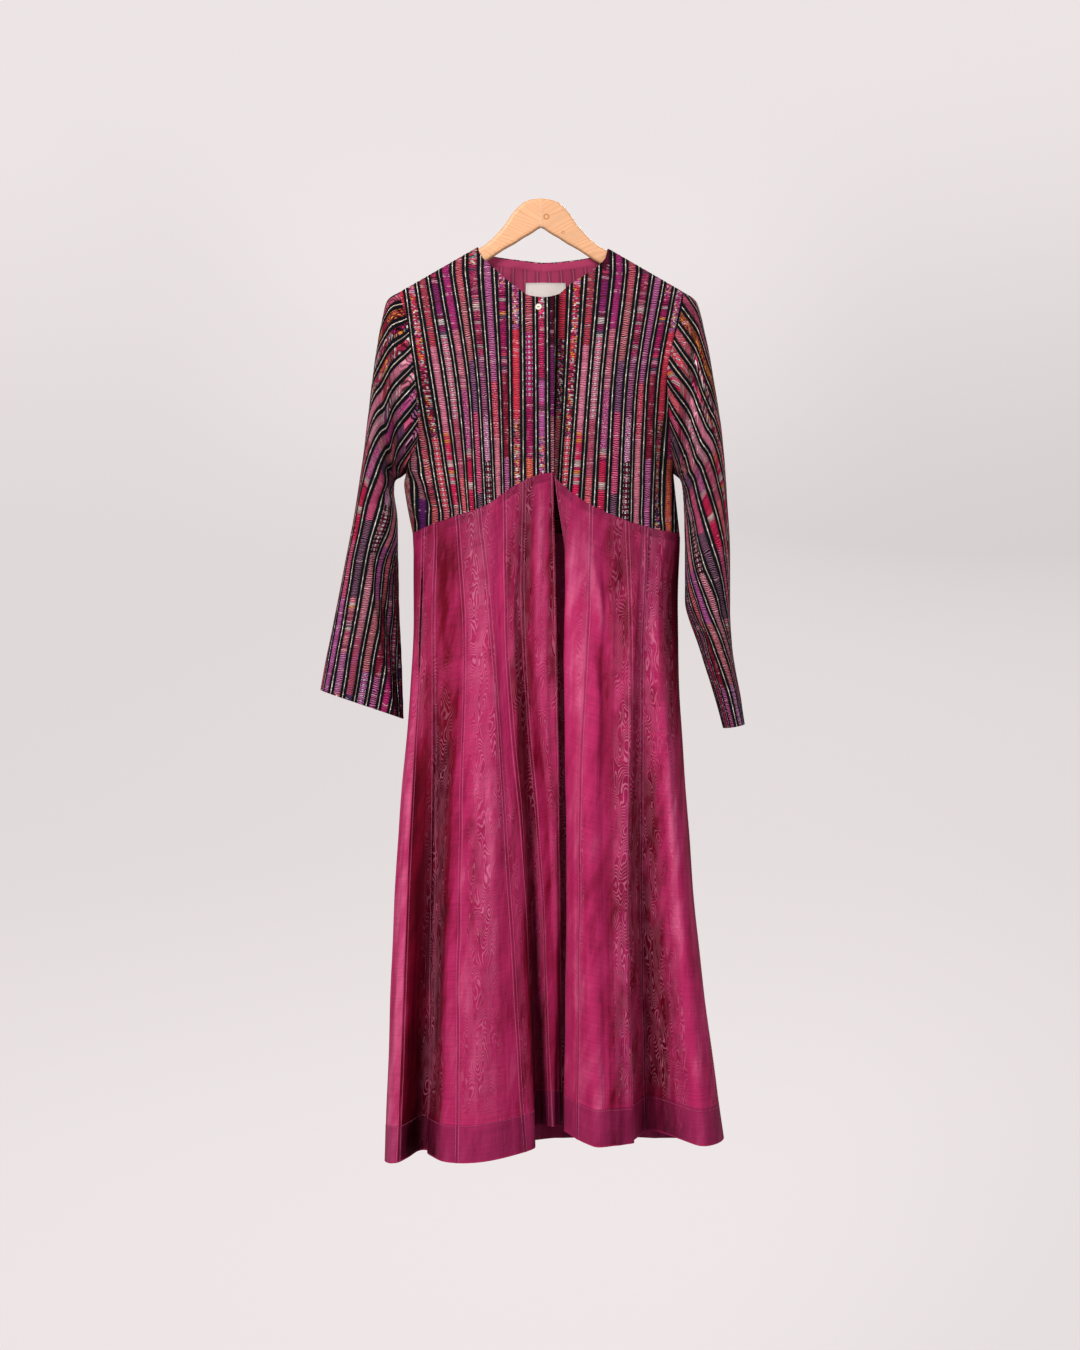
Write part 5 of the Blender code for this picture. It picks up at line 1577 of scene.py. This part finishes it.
def lining_silk(settings):
    """Thin silk that the stripes behind it show through, under a binding."""
    material, start = start_material("neck_lining_silk", Specular_IOR_Level=0.10)
    across, down = start.uv("cloth")
    slub = start.grain(across * 30.0, down * 1100.0)
    weave = start.grain(across * 1400.0, down * 90.0, detail=1.0)
    colour = start.flat(settings.lining).shade(0.84 + slub * 0.16 + weave * 0.14)
    repeat = across / STRIPES_BEHIND + (start.grain(across * 20.0, down * 18.0) - 0.5) * 0.12
    behind = repeat - repeat.floor()
    below = down.rise(BINDING_DEPTH, BINDING_DEPTH + 0.0010)
    colour = colour.dull(behind.between(0.56, 0.98, 0.05) * below * 0.30)
    colour = colour.blend(LINING_STRIPE, behind.between(0.75, 0.81, 0.03) * below * 0.34)
    return join(material, Base_Color=colour.shade(1.22 - below * 0.22), Roughness=0.50 + slub * 0.15,
                Normal=(slub * 0.6 + weave * 0.3).bump(0.0003, 0.6))


# the tape's threads, its folded ends, woven edges and tacks, in metres
WARP_THREAD = 0.00055
WEFT_THREAD = 0.00045
TAPE_FOLD = (0.0008, 0.0014)
TAPE_EDGE = (0.0030, 0.0036)
TACK_ROW = (0.0020, 0.0027, 0.0002)
TACK_PITCH = 0.0026


def label_tape(settings):
    """Close plain weave, pale, with woven edges, sewn on with small tacks."""
    material, start = start_material("blank_label_tape", Specular_IOR_Level=0.15)
    across, down = start.uv("cloth")
    side, end = start.uv("edges")
    warp, weft = (across / WARP_THREAD).wave(), (down / WEFT_THREAD).wave()
    grain = start.grain(across * 1600.0, down * 400.0)
    colour = start.flat(settings.label).shade(0.86 + warp * weft * 0.12 + grain * 0.10)
    colour = colour.dull(end.fall(*TAPE_FOLD) * 0.30)
    tacks = (across / TACK_PITCH).sine().rise(-0.2, 0.2)
    colour = colour.dull(end.between(*TACK_ROW) * tacks * 0.30)
    colour = colour.dull(side.fall(*TAPE_EDGE) * 0.08)
    return join(material, Base_Color=colour, Roughness=0.80 + grain * 0.1,
                Normal=(warp * 0.4 + weft * 0.4 + grain * 0.3).bump(0.0002, 0.6))


# half of the thread bar's width and height, and the start of the button's rim, in metres
THREAD_BAR_WIDE = (0.0016, 0.0020)
THREAD_BAR_HIGH = (0.0006, 0.0009)
BUTTON_RIM = (0.0034, 0.0040)


def button_shell(settings):
    """Polished shell with soft layered bands, a darker rim and a bar of sewing thread."""
    material, start = start_material("polished_shell", Coat_Weight=0.4, Coat_Roughness=0.12,
                                     Specular_IOR_Level=0.55)
    place = start.place()
    layers = start.noise(place, scale=420.0)
    colour = start.flat(settings.button).shade(0.80 + layers * 0.35)
    colour = colour.blend(SHELL_LAYER, layers.rise(0.58, 0.72) * 0.4)
    off_x, off_z = place.part("X") - BUTTON_X, place.part("Z") - BUTTON_Z
    sewing = abs(off_x).fall(*THREAD_BAR_WIDE) * abs(off_z).fall(*THREAD_BAR_HIGH)
    colour = colour.blend(BUTTON_THREAD, sewing).dull(off_x.reach(off_z).rise(*BUTTON_RIM) * 0.45)
    return join(material, Base_Color=colour, Roughness=0.22 + layers * 0.18, Normal=layers.bump(0.0001, 0.4))


# the slant of the arms, and where their growth lines start; the first part is negative on the left arm
ARM_SLANT = math.radians(28.0)
GRAIN_START = (0.21, 0.13, 0.37)
Knot = namedtuple("Knot", "x z size tone")
KNOTS = (
    Knot(0.0073, -0.0255, 0.0038, 0.85),
    Knot(0.0293, -0.0461, 0.0022, 0.90),
    Knot(-0.1240, -0.1010, 0.0030, 0.70),
)


def hanger_wood(name, settings, side):
    """Pine with growth lines along the arm, a few knots, under a thin varnish."""
    material, start = start_material(name, Coat_Weight=0.10, Coat_Roughness=0.35, Specular_IOR_Level=0.3)
    place = start.place()
    turned = start.add("ShaderNodeMapping", {"vector_type": "POINT"},
                       {"Vector": place, "Rotation": (0.0, side * ARM_SLANT, 0.0),
                        "Location": (side * GRAIN_START[0], *GRAIN_START[1:])})
    x, y, z = turned.part("X"), turned.part("Y"), turned.part("Z")
    bend = start.noise(start.vector(x * 7.0, y * 24.0, z * 24.0)) - 0.5
    rings = z * 190.0 + y * 60.0 + bend * 8.0
    ring_share = rings - rings.floor()
    late = ring_share.rise(0.45, 0.92) * ring_share.fall(0.93, 1.0)
    fibre = start.noise(start.vector(x * 60.0, y * 1800.0, z * 1800.0))
    broad = start.noise(start.vector(x * 12.0, y * 90.0, z * 90.0))
    # painted light: the left arm's wood is painted a little lighter and the right arm's a little darker
    colour = start.flat(settings.wood).shade((0.76 + fibre * 0.18 + broad * 0.34) * (1.0 - side * 0.03))
    colour = colour.blend(LATE_WOOD, late * broad.rise(0.25, 0.60) * 0.42)
    for knot in KNOTS:
        off = (place.part("X") - knot.x).reach(place.part("Z") - knot.z) + bend * knot.size * 0.5
        rim = off.between(knot.size * 0.55, knot.size, knot.size * 0.2)
        colour = colour.blend(KNOT_RING, rim * knot.tone)
        colour = colour.blend(KNOT_HEART, off.fall(knot.size * 0.3, knot.size * 0.5) * knot.tone)
    return join(material, Base_Color=colour, Roughness=0.40 + late * 0.08 + fibre * 0.08,
                Normal=(late * 0.4 + fibre * 0.5).bump(0.0003, 0.35))


def silk_thread(settings):
    """Spun thread."""
    material, start = start_material("silk_thread", Specular_IOR_Level=0.10)
    ply = start.noise(start.place(), scale=2600.0, detail=1.0)
    return join(material, Base_Color=start.flat(settings.thread).shade(0.82 + ply * 0.36),
                Roughness=0.55 + ply * 0.2, Normal=ply.bump(0.0001, 0.5))


# ---------------------------------------------------------------- stitches

STITCH_PORTS = {"Paths": "Geometry", "Pitch": "Float", "Stitch Length": "Float", "Thread Radius": "Float",
                "Seed": "Int", "Material": "Material"}


def stitch_tree():
    """Geometry nodes: short bars of thread along the edges of a mesh, with a gap after each."""
    tree = bpy.data.node_groups.new("stitches", "GeometryNodeTree")
    tree.interface.new_socket("Geometry", in_out="OUTPUT", socket_type="NodeSocketGeometry")
    for name, kind in STITCH_PORTS.items():
        tree.interface.new_socket(name, in_out="INPUT", socket_type="NodeSocket" + kind)
    outputs = tree.nodes.new("NodeGroupInput").outputs
    port = {name: Socket(tree, outputs[name]) for name in STITCH_PORTS}
    start = Socket(tree)
    curves = start.add("GeometryNodeMeshToCurve", {}, {"Mesh": port["Paths"]})
    points = start.add("GeometryNodeCurveToPoints", {"mode": "LENGTH"},
                       {"Curve": curves, "Length": port["Pitch"]})
    tangent = Socket(tree, points.output.node.outputs["Tangent"])
    bar = start.add("GeometryNodeMeshCylinder", {}, {
        "Vertices": 4, "Radius": port["Thread Radius"], "Depth": port["Stitch Length"]})
    turn = start.add("FunctionNodeAlignRotationToVector", {"axis": "Z"}, {"Vector": tangent})
    size = start.add("FunctionNodeRandomValue", {"data_type": "FLOAT"},
                     {"Min": 0.88, "Max": 1.08, "Seed": port["Seed"]}, "Value")
    placed = start.add("GeometryNodeInstanceOnPoints", {}, {
        "Points": points, "Instance": bar, "Rotation": turn, "Scale": size})
    real = start.add("GeometryNodeRealizeInstances", {}, {"Geometry": placed})
    smooth = start.add("GeometryNodeSetShadeSmooth", {}, {"Geometry": real})
    painted = start.add("GeometryNodeSetMaterial", {}, {"Geometry": smooth, "Material": port["Material"]})
    tree.links.new(painted.output, tree.nodes.new("NodeGroupOutput").inputs[0])
    return tree


def add_stitches(line, pitch, material):
    """Stitches along lines of points, as one plain mesh."""
    points = []
    edges = []
    for path in line.paths():
        first = len(points)
        points += [tuple(point) for point in path]
        edges += [(index, index + 1) for index in range(first, len(points) - 1)]
    mesh = bpy.data.meshes.new(line.name + "_paths")
    mesh.from_pydata(points, edges, [])
    guide = link_piece(line.name + "_paths", mesh)
    sewing = guide.modifiers.new("stitches", "NODES")
    sewing.node_group = bpy.data.node_groups.get("stitches") or stitch_tree()
    values = {"Pitch": pitch, "Stitch Length": line.length, "Thread Radius": line.radius, "Seed": line.seed,
              "Material": material}
    for item in sewing.node_group.interface.items_tree:
        if item.name in values:
            sewing[item.identifier] = values[item.name]
    evaluated = guide.evaluated_get(bpy.context.evaluated_depsgraph_get())
    plain = bpy.data.meshes.new_from_object(evaluated)
    plain.name = line.name
    bpy.data.objects.remove(guide, do_unlink=True)
    piece = link_piece(line.name, plain)
    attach(piece, BODY)


def skirt_line(fold, drop, lift):
    """Points of a line on the skirt's face, moved out by lift."""
    points = skirt_point(fold, drop)
    return points + skirt_normal(fold, drop) * (skirt_wrinkles(fold, drop, points) + lift)[:, None]


def seam_stitch_paths():
    """Two lines of topstitching along every seam of the skirt, and one inside each opening edge."""
    ahead = 0.03
    paths = []
    drops = np.linspace(0.006, 0.996, 120)
    for seam in SEAMS:
        fold = seam_place(seam, drops)
        for side in (-1.0, 1.0):
            if (seam.name, side) in (("left_opening", -1.0), ("right_opening", 1.0)):
                continue
            step = skirt_point(np.clip(fold + side * ahead, 0.0, LAST_FOLD), drops) - skirt_point(fold, drops)
            place = fold + side * ahead * (STITCH_OFFSET / np.maximum(np.linalg.norm(step, axis=-1), 1e-6))
            paths.append(skirt_line(np.clip(place, 0.0, LAST_FOLD), drops, 0.50 * MM))
    return paths


def hem_stitch_paths():
    """One line of stitches round the upper edge of the hem."""
    fold = np.linspace(0.02, LAST_FOLD - 0.02, 900)
    drop = np.full(fold.shape, 1.0 - (HEM_DEPTH - 0.0015) / SKIRT_LENGTH)
    return [skirt_line(fold, drop, 0.45 * MM)]


StitchLine = namedtuple("StitchLine", "name paths length radius seed")
STITCH_LINES = (
    StitchLine("seam_stitches", seam_stitch_paths, 2.6 * MM, 0.26 * MM, 3),
    StitchLine("hem_stitches", hem_stitch_paths, 2.4 * MM, 0.24 * MM, 5),
)


# ---------------------------------------------------------------- operators

class KURTA_OT_bodice(bpy.types.Operator):
    """Both striped fronts and the striped back"""
    bl_idname = "kurta.bodice"
    bl_label = "Bodice"

    def execute(self, context):
        settings = context.scene.kurta_cloth
        material = striped_cloth(settings)
        for panel in BODICE_PANELS:
            make_bodice_panel(panel, settings.repeat, material)
        return {"FINISHED"}


class KURTA_OT_sleeves(bpy.types.Operator):
    """The two striped sleeves"""
    bl_idname = "kurta.sleeves"
    bl_label = "Sleeves"

    def execute(self, context):
        for side in SLEEVES:
            make_sleeve(side, context.scene.kurta_cloth.repeat, bpy.data.materials["striped_patchwork"])
        return {"FINISHED"}


class KURTA_OT_skirt(bpy.types.Operator):
    """The skirt's silk panels"""
    bl_idname = "kurta.skirt"
    bl_label = "Skirt"

    def execute(self, context):
        cloth = context.scene.kurta_skirt
        outside = silk("skirt_silk", cloth.crest_light, cloth.silk, cloth.deep, cloth.hem, cloth.thread)
        # the inside glows a little: painted light for light coming through the silk
        inside = silk("skirt_silk_inside", cloth.silk, cloth.inside, cloth.deep, cloth.hem, cloth.inside,
                      painted_glow=0.16)
        for name, first, last in zip(PANEL_NAMES, SEAMS, SEAMS[1:]):
            make_kali(name, first, last, [outside, inside])
        return {"FINISHED"}


class KURTA_OT_neck(bpy.types.Operator):
    """The back neck's lining, binding and blank label"""
    bl_idname = "kurta.neck"
    bl_label = "Neck"

    def execute(self, context):
        settings = context.scene.kurta_trim
        make_patch(lining_patch(), lining_silk(settings))
        make_patch(label_patch(), label_tape(settings))
        return {"FINISHED"}


class KURTA_OT_trim(bpy.types.Operator):
    """Finishes of the button and the hanger"""
    bl_idname = "kurta.trim"
    bl_label = "Button and hanger"

    def execute(self, context):
        settings = context.scene.kurta_trim
        finishes = {
            "neck_button": button_shell(settings),
            # the two arms get their own copies of the wood, painted lighter on the left and darker on the
            # right
            "hanger_arm_left": hanger_wood("hanger_wood_left", settings, -1.0),
            "hanger_arm_right": hanger_wood("hanger_wood_right", settings, 1.0),
        }
        for node, material in finishes.items():
            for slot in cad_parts[node].material_slots:
                slot.material = material
        return {"FINISHED"}


class KURTA_OT_stitches(bpy.types.Operator):
    """Topstitching of the seams and the hem"""
    bl_idname = "kurta.stitches"
    bl_label = "Stitches"

    def execute(self, context):
        settings = context.scene.kurta_skirt
        material = silk_thread(settings)
        for line in STITCH_LINES:
            add_stitches(line, settings.stitch_pitch, material)
        return {"FINISHED"}


class KURTA_OT_stage(bpy.types.Operator):
    """Pale floor and backdrop, soft studio lights and the camera"""
    bl_idname = "kurta.stage"
    bl_label = "Stage"

    def execute(self, context):
        add_backdrop()
        add_lights()
        add_camera()
        return {"FINISHED"}


FLOOR_Z = -2.0
FLOOR_RADIUS = 1.5
FLOOR_CURVE = 3.0
WALL_TOP_Z = 4.2
CURVE_STEPS = 16


def backdrop_mesh():
    """A round floor that curves up into the wall all round."""
    profile = [(0.0, FLOOR_Z)]
    for step in range(CURVE_STEPS + 1):
        angle = math.pi / 2.0 * step / CURVE_STEPS
        profile.append((FLOOR_RADIUS + FLOOR_CURVE * math.sin(angle),
                        FLOOR_Z + FLOOR_CURVE - FLOOR_CURVE * math.cos(angle)))
    profile.append((FLOOR_RADIUS + FLOOR_CURVE, WALL_TOP_Z))
    bowl = bmesh.new()
    line = [bowl.verts.new((radius, 0.0, height)) for radius, height in profile]
    edges = [bowl.edges.new(pair) for pair in zip(line, line[1:])]
    bmesh.ops.spin(bowl, geom=line + edges, cent=(0, 0, 0), axis=(0, 0, 1), angle=math.tau, steps=96,
                   use_merge=True)
    bmesh.ops.remove_doubles(bowl, verts=bowl.verts, dist=1e-5)
    bmesh.ops.recalc_face_normals(bowl, faces=bowl.faces)
    bmesh.ops.reverse_faces(bowl, faces=bowl.faces)
    mesh = bpy.data.meshes.new("backdrop")
    bowl.to_mesh(mesh)
    bowl.free()
    mesh.shade_smooth()
    return mesh


def backdrop_paper():
    """Pale paper lit by its own glow, painted light that is a little lighter and darker in soft gradients."""
    material, start = start_material("backdrop_paper", Specular_IOR_Level=0.0, Roughness=1.0,
                                     Emission_Strength=1.0)
    x, height = start.place().part("X"), start.place().part("Z")
    painted_light_drift = height.rise(1.3, -0.5) * -0.17 + height.rise(-1.0, -1.95) * 0.09
    painted_light_drift = painted_light_drift + x.rise(-0.6, 2.4) * height.rise(1.6, 0.2) * -0.05
    painted_light_drift = painted_light_drift + height.between(0.0, 0.9, 0.35) * x.between(-0.9, 0.8, 0.4) * 0.07
    paper = start.flat(PAPER).shade(1.0 + painted_light_drift)
    return join(material, Base_Color=paper.shade(0.22), Emission_Color=paper.shade(0.90))


def add_backdrop():
    mesh = backdrop_mesh()
    mesh.materials.append(backdrop_paper())
    backdrop = link_piece("backdrop", mesh)
    backdrop.visible_shadow = False
    backdrop.visible_diffuse = False
    backdrop.visible_glossy = False


LIGHTS_AIM = Vector((0.0, 0.0, -0.65))
AreaLight = namedtuple("AreaLight", "name place size power colour")
AREA_LIGHTS = (
    AreaLight("key_light", (-1.9, -3.1, 1.5), (1.2, 1.5), 228.0, (1.0, 0.985, 0.97)),
    AreaLight("fill_light", (2.6, -2.4, 0.2), (2.2, 2.6), 62.0, (0.97, 0.98, 1.0)),
    AreaLight("back_light", (1.2, 3.2, 1.2), (2.0, 2.2), 110.0, (1.0, 1.0, 1.0)),
)


def add_lights():
    for plan in AREA_LIGHTS:
        data = bpy.data.lights.new(plan.name, "AREA")
        data.shape = "RECTANGLE"
        data.size, data.size_y = plan.size
        data.energy = plan.power
        data.color = plan.colour
        light = link_piece(plan.name, data)
        light.location = plan.place
        light.rotation_euler = (LIGHTS_AIM - Vector(plan.place)).to_track_quat("-Z", "Y").to_euler()
        light.visible_camera = False
    world = bpy.data.worlds.new("studio")
    world.use_nodes = True
    background = world.node_tree.nodes["Background"]
    background.inputs["Color"].default_value = (1.0, 0.985, 0.985, 1.0)
    background.inputs["Strength"].default_value = 0.30
    bpy.context.scene.world = world
    bpy.context.scene.view_settings.view_transform = "Standard"


def add_camera():
    data = bpy.data.cameras.new("camera")
    data.lens = CAMERA_LENS
    data.sensor_width = CAMERA_SENSOR
    data.sensor_fit = "AUTO"
    camera = link_piece("camera", data)
    camera.location = CAMERA_PLACE
    camera.rotation_euler = (math.pi / 2.0, 0.0, 0.0)
    bpy.context.scene.camera = camera


class KURTA_PT_panel(bpy.types.Panel):
    bl_idname = "KURTA_PT_panel"
    bl_label = "Kurta tunic"
    bl_space_type = "VIEW_3D"
    bl_region_type = "UI"
    bl_category = "Kurta"

    def draw(self, context):
        for group in GROUPS:
            settings = getattr(context.scene, group)
            box = self.layout.box()
            for name in settings.__annotations__:
                box.prop(settings, name)
        for operator in OPERATORS:
            self.layout.operator(operator.bl_idname)


GROUPS = {"kurta_cloth": KurtaCloth, "kurta_skirt": KurtaSkirt, "kurta_trim": KurtaTrim}
OPERATORS = (
    KURTA_OT_stage,
    KURTA_OT_bodice,
    KURTA_OT_sleeves,
    KURTA_OT_skirt,
    KURTA_OT_neck,
    KURTA_OT_trim,
    KURTA_OT_stitches,
)
CLASSES = (*GROUPS.values(), *OPERATORS, KURTA_PT_panel)


def register():
    for item in CLASSES:
        bpy.utils.register_class(item)
    for name, group in GROUPS.items():
        setattr(bpy.types.Scene, name, bpy.props.PointerProperty(type=group))


def unregister():
    for name in GROUPS:
        delattr(bpy.types.Scene, name)
    for item in reversed(CLASSES):
        bpy.utils.unregister_class(item)


def main():
    register()
    bpy.ops.kurta.stage()
    bpy.ops.kurta.bodice()
    bpy.ops.kurta.sleeves()
    bpy.ops.kurta.skirt()
    bpy.ops.kurta.neck()
    bpy.ops.kurta.trim()
    bpy.ops.kurta.stitches()


if __name__ == "__main__":
    main()
